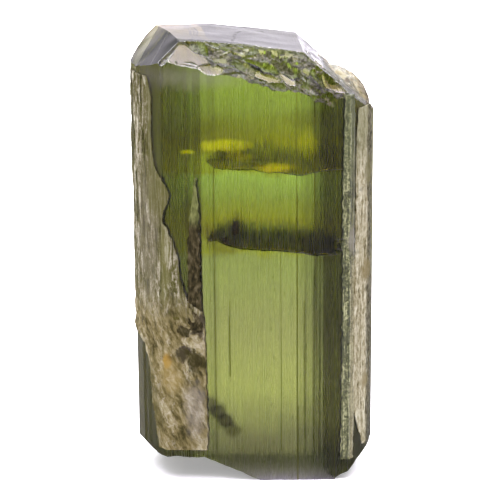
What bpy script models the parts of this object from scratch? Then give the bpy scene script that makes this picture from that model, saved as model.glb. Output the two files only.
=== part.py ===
"""Rough green tourmaline: one cracked, striated prism broken off at both ends, with two strips of crust.

The broad front face looks towards -Y and the prism stands along +Z on the flat of its base. Lengths below
are in millimetres from the middle of the section, and become metres from the middle of the base's box
where a mesh is made.
"""

import collections
import math
import random

import bmesh
import bpy
from mathutils import Vector, noise

MM = 0.001

# The middle of the whole thing's box, seen from above: the part's origin is below it, on the floor
BOX_MIDDLE = (0.09, 0.34)

# Corners of the prism's section, anticlockwise from the front left edge. Each has the crown of the face
# that follows it and the number of growth ridges on that face.
SECTION = (
    (-5.45, -4.25, 0.16, 34),
    (6.05, -4.10, 0.04, 4),
    (6.85, -3.00, 0.04, 4),
    (7.45, -1.60, 0.03, 3),
    (7.60, -0.30, 0.12, 7),
    (6.80, 2.20, 0.14, 9),
    (3.90, 4.60, 0.22, 16),
    (-2.90, 5.00, 0.16, 10),
    (-6.40, 3.10, 0.12, 8),
    (-7.38, 0.20, 0.08, 6),
    (-6.95, -1.90, 0.08, 8),
)
RIDGE_DEPTH = 0.07
RIDGE_SEED = 11

# The prism before its top is broken away, and how far its left side leans in towards the base
PRISM_TOP = 28.6
LEAN = 0.40
LEAN_LEVEL = 27.0

# Planes that the top broke along, each as height at the axis, rise per mm along X, rise per mm along Y
GLOSSY_BREAK = (27.20, -0.035, -0.020)
GLOSSY_SAG = (26.90, -0.094, 0.012)
FRONT_BEVEL = (28.04, -0.25, 0.689)
RIGHT_SLOPE = (29.30, -0.860, -0.030)
LEFT_BEVEL = (30.70, 0.683, 0.188)

# The front bevel gets steeper towards the right: by how much per mm along X, from which Y on, and how
# much its chips and splinters crowd together there
BEVEL_TWIST = 0.195
BEVEL_TWIST_FROM_Y = -4.20
BEVEL_TWIST_BACK = 0.92

# The hump that stands on the right slope: centre X, centre Y, radius and height
HUMP = (6.70, 2.10, 1.85, 0.78)

# Splinters that make the front bevel rough
SPLINTER_SIZE = 1.25
SPLINTER_TILT = 0.24
SPLINTER_DROP = 0.10
GLOSSY_RIPPLE = 0.05

# Chips of the bevel: middle, half length, half width, turn in degrees, drop, and tilt along X and Y
Chip = collections.namedtuple("Chip", "x y half_length half_width turn drop tilt_x tilt_y")
CHIPS = (
    Chip(-4.05, -3.75, 1.75, 1.15, 12.0, 0.16, 0.02, -0.02),
    Chip(-4.95, -3.55, 1.45, 0.34, 58.0, 0.34, 0.30, 0.10),
    Chip(-3.20, -2.55, 0.85, 0.48, -24.0, 0.42, 0.05, 0.30),
    Chip(-1.70, -3.00, 1.10, 0.60, -14.0, 0.20, 0.12, 0.16),
    Chip(0.60, -2.92, 1.05, 0.25, -10.0, 0.34, 0.00, 0.42),
    Chip(2.25, -2.72, 1.00, 0.40, -18.0, 0.40, 0.00, 0.45),
    Chip(3.55, -3.72, 0.90, 0.34, -16.0, 0.24, 0.08, 0.34),
    Chip(4.30, -2.95, 0.78, 0.34, -28.0, 0.42, 0.10, 0.42),
    Chip(4.85, -4.05, 0.42, 0.34, 0.0, 0.50, 0.00, 0.20),
)

# Cracks that run in from the front face: their line on it as X and height, how steeply they rise
# inwards, how far they reach in and the seed of their waves
Crack = collections.namedtuple("Crack", "trace rise reach seed")
UPPER_CRACK = Crack(
    (
        (-2.70, 20.15),
        (-2.20, 19.70),
        (-1.40, 19.65),
        (0.20, 19.62),
        (0.90, 19.45),
        (1.90, 19.44),
        (3.00, 19.24),
        (3.90, 19.44),
        (4.90, 19.58),
        (6.35, 19.60),
    ),
    0.11,
    7.6,
    2.0,
)
LOWER_CRACK = Crack(
    (
        (-2.70, 15.18),
        (-2.20, 15.26),
        (-1.55, 14.92),
        (-0.60, 14.72),
        (0.30, 14.63),
        (1.40, 14.60),
        (2.30, 14.50),
        (3.35, 14.40),
        (3.80, 14.26),
        (4.80, 14.30),
        (6.35, 14.38),
    ),
    0.10,
    7.8,
    9.0,
)
CRACK_FRONT = -4.25
CRACK_GAP = 0.12
CRACK_TIP_GAP = 0.04
CRACK_WAVE = 0.16
CRACK_WAVE_FULL_AT = 1.5
CRACK_LEAST_REACH = 0.4
CRACK_OVERHANG = 0.6
CRACK_GRID = (12, 6)

# The broken base: its left front rises away from the floor, and its corners are chipped off
BASE_RISE = 1.50
BASE_RISE_FORWARD = 0.22
BASE_RISE_FROM_Y = -4.20
BASE_RISE_LEFT = 0.43
BASE_RISE_FROM_X = 0.65
RIGHT_CHIP = (-2.90, 0.650, 0.120)
LEFT_CHIP = (-5.26, -1.000, -0.300)
BASE_RUFFLE = 0.12
BASE_SWAY = 0.25
LEAST_RISE = 0.04
BELOW_FLOOR = -0.3

# The chipped strip down the right front edge: its height, its reach to either side and its depth
EDGE_STRIP_LOW = 1.2
EDGE_STRIP_HIGH = 24.6
EDGE_STRIP_REACH = 0.30
EDGE_STRIP_JAG = 0.45
EDGE_STRIP_DEPTH = 0.15
EDGE_STRIP_RATE = 0.85

# Matrix crust: the gap round it in its bed, and its lumps
CRUST_GAP = 0.05
CRUST_SINK = 0.06
CRUST_LUMP = 0.26
CRUST_LUMP_SIZE = 1.0
CRUST_HOLLOW = 0.55
BORDER_DROP = 0.10
BORDER_WIDTH = 0.12
CUTTER_OVERHANG = 0.9

# Edges of the left crust: height, then the distance round the section from the front left edge to
# its left border and to its right border, with the broad front face positive
LEFT_CRUST = (
    (1.95, -0.80, 2.55),
    (3.0, -1.00, 2.60),
    (5.0, -1.55, 2.55),
    (7.0, -1.75, 2.50),
    (8.3, -2.30, 2.50),
    (9.3, -5.60, 2.45),
    (10.7, -6.60, 2.40),
    (11.4, -6.90, 1.45),
    (13.0, -7.10, 0.95),
    (14.3, -6.80, 0.85),
    (15.4, -7.20, 0.45),
    (16.6, -7.40, -0.10),
    (18.0, -7.10, 0.40),
    (18.7, -7.30, 0.20),
    (19.8, -7.50, -0.80),
    (21.5, -7.20, -1.05),
    (24.0, -6.90, -0.95),
    (25.2, -6.30, -1.40),
)

# Dark hollows in its lower patch: centre X, height, radius and depth
CRUST_PITS = (
    (-4.10, 9.5, 0.50, 0.40),
    (-3.75, 7.6, 0.80, 0.45),
    (-4.60, 4.2, 0.45, 0.20),
)

# The tongue of crust in the groove beside it
TONGUE = (
    (9.6, 1.90, 2.45),
    (13.0, 1.95, 2.45),
    (16.5, 2.00, 2.50),
    (17.6, 2.05, 2.40),
    (19.1, 2.18, 2.26),
)

# Edges of the right crust, measured from the right front edge round towards the back
RIGHT_CRUST = (
    (1.9, 1.60, 2.35),
    (4.0, 1.10, 2.60),
    (8.0, 0.85, 2.75),
    (13.0, 0.75, 2.80),
    (18.0, 0.80, 2.75),
    (21.5, 0.85, 2.85),
    (23.3, 1.00, 2.60),
)

# The blocks that the breaks are cut with: their reach from the axis and their cells along X and Y
BREAK_HALF_X = 8.4
BREAK_HALF_Y = 6.2
TOP_GRID = (50, 40)
BASE_GRID = (33, 24)

Band = collections.namedtuple("Band", "corner low high borders grid inset")


def smooth_step(value):
    """Zero below 0, one above 1 and an even rise between."""
    held = min(1.0, max(0.0, value))
    return held * held * (3.0 - 2.0 * held)


def lean(point):
    """Moves a point of the prism's side in towards the right, more so low down and at the left."""
    low = 1.0 - point.z / LEAN_LEVEL
    right = SECTION[4][0]
    left = SECTION[9][0]
    point.x += LEAN * low * (right - point.x) / (right - left)


def section_corners():
    """The section's corners with the first one repeated at the end."""
    corners = [Vector(entry[:2]) for entry in SECTION]
    return corners + [corners[0]]


def face_point(start, end, crown, along):
    """A point on one crowned face of the section."""
    outward = Vector((end.y - start.y, start.x - end.x)).normalized()
    return start.lerp(end, along) + outward * crown * 4.0 * along * (1.0 - along)


def striated_outline():
    """The section with its growth ridges, as points in order."""
    dice = random.Random(RIDGE_SEED)
    corners = section_corners()
    outline = []
    for index, (_, _, crown, ridges) in enumerate(SECTION):
        start, end = corners[index], corners[index + 1]
        outward = Vector((end.y - start.y, start.x - end.x)).normalized()
        for step in range(ridges):
            along = (step + dice.uniform(-0.3, 0.3) * (step > 0)) / ridges
            depth = RIDGE_DEPTH * dice.uniform(-1.0, 0.4) * (step > 0)
            outline.append(face_point(start, end, crown, along) + outward * depth)
    return outline


def round_section(first_corner, distance):
    """The point at this distance round the section from a corner, anticlockwise if positive."""
    corners = section_corners()
    faces = len(SECTION)
    index = first_corner
    left = distance
    while left < 0.0:
        index = (index - 1) % faces
        left += (corners[index + 1] - corners[index]).length
    length = (corners[index + 1] - corners[index]).length
    while left > length:
        left -= length
        index = (index + 1) % faces
        length = (corners[index + 1] - corners[index]).length
    return face_point(corners[index], corners[index + 1], SECTION[index][2], left / length)


def plane_height(plane, x, y):
    """The height of a break plane above this point of the floor."""
    return plane[0] + plane[1] * x + plane[2] * y


def splinters(x, y):
    """Offset of the broken bevel: small flat splinters, each with its own drop and tilt."""
    place = Vector((x, 1.6 * y, 0.0)) / SPLINTER_SIZE
    centre = noise.voronoi(place)[1][0]
    lean_x = noise.noise(centre * 3.7)
    lean_y = noise.noise(centre * 3.7 + Vector((6.0, 2.0, 5.0)))
    drop = noise.noise(centre * 5.3 + Vector((9.0, 4.0, 1.0)))
    away = place - centre
    return SPLINTER_TILT * (away.x * lean_x + away.y * lean_y) + SPLINTER_DROP * drop


def mound(x, y, entry):
    """The height of a round mound with this centre, radius and height."""
    centre_x, centre_y, radius, height = entry
    away = math.hypot(x - centre_x, y - centre_y) / radius
    return height * max(0.0, 1.0 - away * away)


def chip_floor(chip, x, y):
    """How far a chip's hollow floor is from the bevel's plane at this point."""
    turn = math.radians(chip.turn)
    away_x, away_y = x - chip.x, y - chip.y
    along = (away_x * math.cos(turn) + away_y * math.sin(turn)) / chip.half_length
    across = (away_y * math.cos(turn) - away_x * math.sin(turn)) / chip.half_width
    away = math.hypot(along, across)
    return chip.drop * (away**3 - 1.0) + chip.tilt_x * away_x + chip.tilt_y * away_y


def top_height(x, y):
    """The broken top: the lowest of its break planes, with the bevel chipped and splintered."""
    glossy = min(plane_height(GLOSSY_BREAK, x, y), plane_height(GLOSSY_SAG, x, y))
    slope = plane_height(RIGHT_SLOPE, x, y)
    corner = plane_height(LEFT_BEVEL, x, y)
    twist = BEVEL_TWIST * max(0.0, x) * (y - BEVEL_TWIST_FROM_Y)
    behind = y + twist / BEVEL_TWIST_BACK
    chipped = min(splinters(x, behind), *(chip_floor(chip, x, behind) for chip in CHIPS))
    bevel = plane_height(FRONT_BEVEL, x, y) + twist + chipped
    on_slope = smooth_step((min(glossy, bevel) - slope + 0.2) / 0.8)
    height = min(glossy, bevel, slope, corner) + 0.45 * on_slope * splinters(x, y)
    return height + GLOSSY_RIPPLE * noise.noise(Vector((x, y, 0.0)) * 0.55) + mound(x, y, HUMP)


def base_height(x, y):
    """How far the broken base stands off the floor: negative where the flat is kept whole."""
    ruffle = BASE_RUFFLE * noise.noise(Vector((x, y, 3.0)) * 1.1)
    sway = BASE_SWAY * noise.noise(Vector((x, y, 7.0)) * 0.45)
    corner = BASE_RISE_LEFT * (BASE_RISE_FROM_X - x) + BASE_RISE_FORWARD * (BASE_RISE_FROM_Y - y)
    chips = max(plane_height(RIGHT_CHIP, x, y), plane_height(LEFT_CHIP, x, y))
    rise = max(min(BASE_RISE, corner + sway), chips) + ruffle
    return rise if rise > LEAST_RISE else BELOW_FLOOR


def crust_lumps(x, y, z):
    """Relief of the crust: rounded lumps with hollows between them."""
    place = Vector((x, y, 0.55 * z)) / CRUST_LUMP_SIZE
    lumps = noise.fractal(place, 0.8, 2.0, 3)
    hollow = max(0.0, noise.noise(place * 0.8 + Vector((4.0, 8.0, 2.0))) - 0.15)
    pits = sum(mound(x, z, pit) for pit in CRUST_PITS)
    return CRUST_LUMP * lumps - CRUST_HOLLOW * hollow - CRUST_SINK - pits


def new_object(name, mesh, collection):
    """An object for this mesh, in this collection."""
    obj = bpy.data.objects.new(name, mesh)
    collection.objects.link(obj)
    return obj


def mesh_from(name, shape):
    """A mesh in metres from a bmesh in millimetres, with its faces turned outwards."""
    bmesh.ops.recalc_face_normals(shape, faces=shape.faces)
    middle_x, middle_y = BOX_MIDDLE
    bmesh.ops.translate(shape, verts=shape.verts, vec=(-middle_x, -middle_y, 0.0))
    bmesh.ops.scale(shape, vec=(MM, MM, MM), verts=shape.verts)
    mesh = bpy.data.meshes.new(name)
    shape.to_mesh(mesh)
    shape.free()
    return mesh


def as_cutter(obj):
    """Marks an object as a helper that only cuts."""
    obj.hide_render = True
    obj.display_type = "WIRE"
    return obj


def thicken(shape, move):
    """Closes an open sheet into a block: its faces are extruded and the copies moved by a function."""
    grown = bmesh.ops.extrude_face_region(shape, geom=shape.faces[:])
    for vertex in (item for item in grown["geom"] if isinstance(item, bmesh.types.BMVert)):
        vertex.co = move(vertex.co)


def make_prism(collection):
    """The whole prism: the striated outline, filled and extruded to its full height."""
    shape = bmesh.new()
    ring = [shape.verts.new((point.x, point.y, 0.0)) for point in striated_outline()]
    cap = shape.faces.new(ring)
    grown = bmesh.ops.extrude_face_region(shape, geom=[cap])
    raised = [item for item in grown["geom"] if isinstance(item, bmesh.types.BMVert)]
    bmesh.ops.translate(shape, verts=raised, vec=(0.0, 0.0, PRISM_TOP))
    for vertex in shape.verts:
        lean(vertex.co)
    return new_object("crystal", mesh_from("crystal", shape), collection)


def make_break(name, height, grid, far_side, collection):
    """A block with one broken side that follows the height function and one flat far side."""
    shape = bmesh.new()
    bmesh.ops.create_grid(shape, x_segments=grid[0], y_segments=grid[1], size=1.0)
    for vertex in shape.verts:
        x = BREAK_HALF_X * vertex.co.x
        y = BREAK_HALF_Y * vertex.co.y
        vertex.co = Vector((x, y, height(x, y)))
    thicken(shape, lambda place: Vector((place.x, place.y, far_side)))
    return new_object(name, mesh_from(name, shape), collection)


def crack_height(crack, x, y):
    """The height of a crack's lower side."""
    into = y - CRACK_FRONT
    for low, high in zip(crack.trace, crack.trace[1:]):
        if x <= high[0]:
            break
    line = low[1] + (high[1] - low[1]) * (x - low[0]) / (high[0] - low[0])
    wave = CRACK_WAVE * noise.noise(Vector((x * 0.55, y * 0.55, crack.seed)))
    return line + crack.rise * into + wave * min(1.0, into / CRACK_WAVE_FULL_AT)


def make_crack(name, crack, collection):
    """A thin wedge that opens a crack in the front face."""
    left, right = crack.trace[0][0], crack.trace[-1][0]
    shape = bmesh.new()
    bmesh.ops.create_grid(shape, x_segments=CRACK_GRID[0], y_segments=CRACK_GRID[1], size=0.5)
    for vertex in shape.verts:
        across, into = vertex.co.x + 0.5, vertex.co.y + 0.5
        x = left + (right - left) * across
        reach = max(CRACK_LEAST_REACH, crack.reach * (1.0 - abs(2.0 * across - 1.0) ** 4))
        y = CRACK_FRONT - CRACK_OVERHANG + (reach + CRACK_OVERHANG) * into
        vertex.co = Vector((x, y, crack_height(crack, x, y)))

    def upper(place):
        into = (place.y - CRACK_FRONT) / crack.reach
        return place + Vector((0.0, 0.0, CRACK_GAP + (CRACK_TIP_GAP - CRACK_GAP) * into))

    thicken(shape, upper)
    for vertex in shape.verts:
        lean(vertex.co)
    return new_object(name, mesh_from(name, shape), collection)


def jagged_borders(height):
    """Both borders of the chipped strip at this height."""
    front = noise.noise(Vector((0.0, 0.0, height)) * EDGE_STRIP_RATE)
    side = noise.noise(Vector((5.0, 0.0, height)) * EDGE_STRIP_RATE)
    left = -EDGE_STRIP_REACH - EDGE_STRIP_JAG * max(-0.4, front)
    right = EDGE_STRIP_REACH + EDGE_STRIP_JAG * max(-0.4, side)
    return left, right


def borders_of(table):
    """A function that gives both borders at a height, between the rows of a table."""

    def borders(height):
        for low, high in zip(table, table[1:]):
            if height <= high[0]:
                along = max(0.0, (height - low[0]) / (high[0] - low[0]))
                return [low[side] + (high[side] - low[side]) * along for side in (1, 2)]
        return table[-1][1:]

    return borders


def section_radius(direction):
    """How far the section's edge is from the axis in this direction."""
    corners = section_corners()
    for start, end in zip(corners, corners[1:]):
        before, after = start.cross(direction), end.cross(direction)
        if before >= 0.0 > after:
            return start.lerp(end, before / (before - after)).length
    return direction.length


def crust_face(x, y, z, edge):
    """The crust's outer face: lumpy, and a little lower at its borders."""
    return crust_lumps(x, y, z) - BORDER_DROP * (1.0 - smooth_step(edge / BORDER_WIDTH))


def plain_overhang(_x, _y, _z, _edge):
    """The outer face of a cutter, clear of the prism."""
    return CUTTER_OVERHANG


def make_band(name, band, outer, margin, collection):
    """A block let into the prism's side, with its outer face set off from the section by a function."""
    low, high = band.low - margin, band.high + margin
    across_count, up_count = band.grid
    shape = bmesh.new()
    bmesh.ops.create_grid(shape, x_segments=across_count, y_segments=up_count, size=0.5)
    for vertex in shape.verts:
        across, up = vertex.co.x + 0.5, vertex.co.y + 0.5
        height = low + (high - low) * up
        left, right = band.borders(height)
        distance = left - margin + (right - left + 2.0 * margin) * across
        point = round_section(band.corner, distance)
        shape_ratio = up_count / across_count
        edge = min(across, 1.0 - across, up * shape_ratio, (1.0 - up) * shape_ratio)
        reach = point.length + outer(point.x, point.y, height, edge)
        vertex.co = Vector((*(point.normalized() * reach), height))

    def inner(place):
        flat = place.xy.normalized()
        return Vector((*(flat * (section_radius(flat) - band.inset - margin)), place.z))

    thicken(shape, inner)
    for vertex in shape.verts:
        lean(vertex.co)
    return new_object(name, mesh_from(name, shape), collection)


def add_boolean(target, other, operation):
    """A live Boolean between two objects."""
    modifier = target.modifiers.new(f"{operation.lower()} {other.name}", "BOOLEAN")
    modifier.operation = operation
    modifier.object = other
    modifier.solver = "EXACT"


def make_material(name, colour, roughness, transmission=0.0, ior=1.5):
    """A Principled material."""
    material = bpy.data.materials.new(name)
    material.use_nodes = True
    shader = material.node_tree.nodes["Principled BSDF"]
    shader.inputs["Base Color"].default_value = (*colour, 1.0)
    shader.inputs["Roughness"].default_value = roughness
    shader.inputs["Metallic"].default_value = 0.0
    shader.inputs["Transmission Weight"].default_value = transmission
    shader.inputs["IOR"].default_value = ior
    material.diffuse_color = (*colour, 1.0)
    return material


def clear_scene():
    """Removes every object and collection of the opening scene."""
    for obj in list(bpy.data.objects):
        bpy.data.objects.remove(obj, do_unlink=True)
    for collection in list(bpy.data.collections):
        bpy.data.collections.remove(collection)


def new_collection(name):
    """A collection in the scene."""
    collection = bpy.data.collections.new(name)
    bpy.context.scene.collection.children.link(collection)
    return collection


def make_crystal(parts, cutters):
    """The crystal: the prism, broken at both ends, cracked and chipped, with beds for the crust."""
    crystal = make_prism(parts)
    top_break = make_break("top_break", top_height, TOP_GRID, PRISM_TOP + 1.5, cutters)
    base_break = make_break("base_break", base_height, BASE_GRID, -1.5, cutters)
    edge_strip = make_band("edge_strip", EDGE_BAND, plain_overhang, 0.0, cutters)
    left_bed = make_band("left_bed", LEFT_BAND, plain_overhang, CRUST_GAP, cutters)
    tongue_bed = make_band("tongue_bed", TONGUE_BAND, plain_overhang, CRUST_GAP, cutters)
    right_bed = make_band("right_bed", RIGHT_BAND, plain_overhang, CRUST_GAP, cutters)
    upper_crack = make_crack("upper_crack", UPPER_CRACK, cutters)
    lower_crack = make_crack("lower_crack", LOWER_CRACK, cutters)
    beds = (left_bed, tongue_bed, right_bed)
    for cutter in (top_break, base_break, edge_strip, *beds, upper_crack, lower_crack):
        add_boolean(crystal, as_cutter(cutter), "DIFFERENCE")
    crystal.data.materials.append(
        make_material("verdelite_green", (0.22, 0.34, 0.06), 0.12, transmission=0.8, ior=1.63)
    )


def make_crusts(parts, cutters):
    """Both strips of crust, the left one with its tongue joined on."""
    left = make_band("left_crust", LEFT_BAND, crust_face, 0.0, parts)
    tongue = make_band("tongue", TONGUE_BAND, crust_face, 0.0, cutters)
    add_boolean(left, as_cutter(tongue), "UNION")
    left.data.materials.append(make_material("tan_matrix", (0.30, 0.26, 0.17), 0.85))
    right = make_band("right_crust", RIGHT_BAND, crust_face, 0.0, parts)
    right.data.materials.append(make_material("cream_matrix", (0.42, 0.38, 0.26), 0.85))


# Everything that is let into the prism's side, each from the section corner that its borders are
# measured from, with its grid as cells across and cells up
EDGE_BAND = Band(1, EDGE_STRIP_LOW, EDGE_STRIP_HIGH, jagged_borders, (2, 38), EDGE_STRIP_DEPTH)
LEFT_BAND = Band(0, LEFT_CRUST[0][0], LEFT_CRUST[-1][0], borders_of(LEFT_CRUST), (13, 34), 0.85)
TONGUE_BAND = Band(0, TONGUE[0][0], TONGUE[-1][0], borders_of(TONGUE), (3, 20), 0.55)
RIGHT_BAND = Band(1, RIGHT_CRUST[0][0], RIGHT_CRUST[-1][0], borders_of(RIGHT_CRUST), (5, 34), 0.85)


def main():
    clear_scene()
    parts = new_collection("rough_verdelite_tourmaline")
    cutters = new_collection("cutters")
    make_crystal(parts, cutters)
    make_crusts(parts, cutters)


main()
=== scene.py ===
"""Rough green tourmaline: the clear striated prism with its breaks, cracks and inclusions, and its crust.

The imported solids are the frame. Each piece here is worked out in millimetres from the middle of the
prism's section, as its solid is, and put in metres from the middle of the base's box.
"""

import collections
import math
import random

import bpy
from bpy.props import FloatProperty, FloatVectorProperty, PointerProperty
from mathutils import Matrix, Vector, noise


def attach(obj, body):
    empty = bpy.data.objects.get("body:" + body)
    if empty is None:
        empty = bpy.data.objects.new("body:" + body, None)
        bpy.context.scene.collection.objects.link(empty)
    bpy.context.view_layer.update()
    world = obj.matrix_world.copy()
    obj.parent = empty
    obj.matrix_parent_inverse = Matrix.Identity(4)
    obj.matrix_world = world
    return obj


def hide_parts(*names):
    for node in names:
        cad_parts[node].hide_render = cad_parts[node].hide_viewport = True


bl_info = {
    "name": "Rough Green Tourmaline",
    "version": (1, 0, 0),
    "blender": (4, 5, 0),
    "location": "View3D > Sidebar > Tourmaline",
    "description": "Builds a rough green tourmaline prism with its cracks, inclusions and crust",
    "category": "Add Mesh",
}

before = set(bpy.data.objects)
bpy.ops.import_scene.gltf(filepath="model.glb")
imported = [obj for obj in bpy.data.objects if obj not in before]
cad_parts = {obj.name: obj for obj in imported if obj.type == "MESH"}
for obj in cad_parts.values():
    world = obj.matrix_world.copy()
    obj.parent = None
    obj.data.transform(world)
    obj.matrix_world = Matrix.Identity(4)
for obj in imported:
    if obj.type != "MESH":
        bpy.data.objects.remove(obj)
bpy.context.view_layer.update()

MM = 0.001
BOX_MIDDLE = (0.09, 0.34)

# Corners of the prism's section, anticlockwise from the front left edge. Each has the crown of the face
# that follows it, the number of coarse growth ridges on that face, and the spacing of its fine points.
SECTION = (
    (-5.45, -4.25, 0.16, 34, 0.045),
    (6.05, -4.10, 0.04, 4, 0.06),
    (6.85, -3.00, 0.04, 4, 0.06),
    (7.45, -1.60, 0.03, 3, 0.07),
    (7.60, -0.30, 0.12, 7, 0.10),
    (6.80, 2.20, 0.14, 9, 0.11),
    (3.90, 4.60, 0.22, 16, 0.12),
    (-2.90, 5.00, 0.16, 10, 0.11),
    (-6.40, 3.10, 0.12, 8, 0.10),
    (-7.38, 0.20, 0.08, 6, 0.07),
    (-6.95, -1.90, 0.08, 8, 0.06),
)
RIDGE_DEPTH = 0.07
RIDGE_SEED = 11
PRISM_TOP = 28.6
PRISM_LEVELS = 30

# The prism's left side leans in low down: how far at the floor, and the level at which it is upright
LEAN = 0.40
LEAN_LEVEL = 27.0

# Planes that the top broke along: height at the axis, rise per mm along X, rise per mm along Y
GLOSSY_BREAK = (27.20, -0.035, -0.020)
GLOSSY_SAG = (26.90, -0.094, 0.012)
FRONT_BEVEL = (28.04, -0.25, 0.689)
RIGHT_SLOPE = (29.30, -0.860, -0.030)
LEFT_BEVEL = (30.70, 0.683, 0.188)
TOP_PLANES = (GLOSSY_BREAK, GLOSSY_SAG, RIGHT_SLOPE, LEFT_BEVEL)

# The front bevel gets steeper towards the right: by how much per mm along X, from which Y on, and how
# much its chips and splinters crowd together there
BEVEL_TWIST = 0.195
BEVEL_TWIST_FROM_Y = -4.20
BEVEL_TWIST_BACK = 0.92

# The mound on the right slope: centre, radius and height
HUMP = (6.70, 2.10, 1.85, 0.78)

# Flat splinters of the bevel, with what is added to their numbers, and the small shards that it is broken
# into: their size, tilt and drop, and by how much both are shorter along Y
SPLINTER_SIZE = 1.25
SPLINTER_TILT = 0.24
SPLINTER_DROP = 0.10
FIRST_SPLINTER = 100
SHARD_SIZE = 0.42
SHARD_TILT = 0.50
SHARD_DROP = 0.07
SHORTER_BY = 1.6
GLOSSY_RIPPLE = 0.05

# Chips of the bevel: middle, half length, half width, turn in degrees, drop, tilt along X and Y, and how
# polished the floor of the chip is
Chip = collections.namedtuple("Chip", "x y half_length half_width turn drop tilt_x tilt_y polish")
CHIPS = (
    Chip(-4.05, -3.75, 1.75, 1.15, 12.0, 0.16, 0.02, -0.02, 1.0),
    Chip(-4.95, -3.55, 1.45, 0.34, 58.0, 0.34, 0.30, 0.10, 0.8),
    Chip(-3.20, -2.55, 0.85, 0.48, -24.0, 0.42, 0.05, 0.30, 0.9),
    Chip(-2.35, -2.25, 0.60, 0.26, -20.0, 0.22, 0.00, -0.25, 0.7),
    Chip(-1.70, -3.00, 1.10, 0.60, -14.0, 0.20, 0.12, 0.16, 0.2),
    Chip(-2.50, -4.10, 0.85, 0.42, 6.0, 0.26, -0.06, 0.00, 1.0),
    Chip(-0.20, -3.45, 0.80, 0.34, -12.0, 0.26, 0.15, 0.22, 0.4),
    Chip(0.60, -2.92, 1.05, 0.25, -10.0, 0.34, 0.00, 0.42, 0.9),
    Chip(0.70, -3.68, 1.20, 0.24, -7.0, 0.16, 0.00, -0.03, 1.0),
    Chip(2.25, -2.72, 1.00, 0.40, -18.0, 0.40, 0.00, 0.45, 0.9),
    Chip(2.40, -3.52, 0.56, 0.38, -20.0, 0.18, -0.02, -0.04, 1.0),
    Chip(1.45, -4.02, 0.95, 0.28, -8.0, 0.20, 0.05, 0.40, 0.6),
    Chip(3.55, -3.72, 0.90, 0.34, -16.0, 0.24, 0.08, 0.34, 0.3),
    Chip(4.30, -2.95, 0.78, 0.34, -28.0, 0.42, 0.10, 0.42, 0.9),
    Chip(4.10, -4.12, 0.70, 0.30, -10.0, 0.36, 0.00, 0.30, 0.3),
    Chip(4.85, -4.05, 0.42, 0.34, 0.0, 0.50, 0.00, 0.20, 0.3),
    Chip(5.35, -3.25, 0.80, 0.45, -25.0, 0.30, 0.15, -0.75, 1.0),
)

# The comb of fine upright ridges on the bevel: its ends, the Y of its top and how that changes along X,
# its width, how deep it is cut and how far apart its ridges are
COMB_LEFT = -0.95
COMB_RIGHT = 2.85
COMB_TOP = (-1.86, -0.105)
COMB_WIDTH = 0.72
COMB_DEPTH = 0.05
COMB_SPACING = 0.21

# Dark lines where two chips meet, fainter between splinters, and the granular band along the glossy
# break's edge with its lip: how far below the bevel the lip reaches, the X where it ends and how slowly
SEAM_REACH = 0.055
SEAM_DARKNESS = 0.85
FAINT_SEAM = 0.4
RIM_WIDTH = 0.22
LIP_DEPTH = 0.62
LIP_END = (0.4, 1.4)

# Marks on the glossy break: the dark line at its back, from X to X and from which Y on, and the curl with
# its half width
# The dark line at the back is painted shade where the glossy break's edge rounds over
BACK_LINE = (-4.2, 0.2, 4.62)
CURL = ((-1.10, -1.73), (-1.05, 0.14), (-0.87, 2.12), (-0.50, 3.10), (0.0, 3.38), (0.75, 3.81), (0.94, 3.15))
CURL_WIDTH = 0.16

# Scratches on the bevel: X and Y of both ends, bow and half width
SCRATCH_DEPTH = 0.03
SCRATCHES = (
    (-4.03, -3.98, -3.01, -4.02, 0.14, 0.12),
    (-4.20, -4.20, -3.42, -4.24, 0.08, 0.10),
    (-3.84, -4.14, -3.06, -4.26, 0.10, 0.07),
    (-4.45, -3.90, -4.40, -4.36, 0.00, 0.08),
    (-3.62, -3.05, -3.00, -3.15, 0.22, 0.06),
    (-3.80, -2.70, -3.05, -2.62, -0.10, 0.06),
    (-0.42, -2.93, 0.30, -3.60, 0.05, 0.05),
)

# The blocks that the breaks are cut with: their reach, the front share of their rows, which lie closer,
# their grids, and how far they stand off the prism's ends
BREAK_HALF_X = 7.9
BREAK_FRONT = -4.9
BREAK_FRONT_END = -1.2
BREAK_BACK = 5.4
BREAK_FRONT_SHARE = 0.58
TOP_GRID = (320, 165)
BASE_GRID = (110, 70)
BREAK_MARGIN = 1.5

# The broken base: how high its left front corner rises at most, how fast to the front and to the left and
# from where on, the planes of its two chips, and how uneven it is
BASE_RISE = 1.50
BASE_RISE_FORWARD = 0.22
BASE_RISE_FROM_Y = -4.20
BASE_RISE_LEFT = 0.43
BASE_RISE_FROM_X = 0.65
RIGHT_CHIP = (-2.90, 0.650, 0.120)
LEFT_CHIP = (-5.26, -1.000, -0.300)
BASE_RUFFLE = 0.12
BASE_SWAY = 0.25

# Edges of the left crust: height, then the distance round the section from the front left edge to
# its left border and to its right border
LEFT_CRUST = (
    (1.95, -0.80, 2.55),
    (3.0, -1.00, 2.60),
    (5.0, -1.55, 2.55),
    (7.0, -1.75, 2.50),
    (8.3, -2.30, 2.50),
    (9.3, -5.60, 2.45),
    (10.7, -6.60, 2.40),
    (11.4, -6.90, 1.45),
    (13.0, -7.10, 0.95),
    (14.3, -6.80, 0.85),
    (15.4, -7.20, 0.45),
    (16.6, -7.40, -0.10),
    (18.0, -7.10, 0.40),
    (18.7, -7.30, 0.20),
    (19.8, -7.50, -0.80),
    (21.5, -7.20, -1.05),
    (24.0, -6.90, -0.95),
    (25.2, -6.30, -1.40),
)

# Hollows of the left crust: X, height, radius and depth
CRUST_PITS = (
    (-4.10, 9.50, 0.46, 0.46),
    (-4.22, 8.05, 0.58, 0.50),
    (-3.45, 7.65, 0.55, 0.50),
    (-3.22, 9.80, 0.42, 0.42),
    (-4.52, 10.25, 0.26, 0.20),
    (-4.60, 4.20, 0.42, 0.14),
    (-3.35, 5.00, 0.26, 0.14),
)

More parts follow.
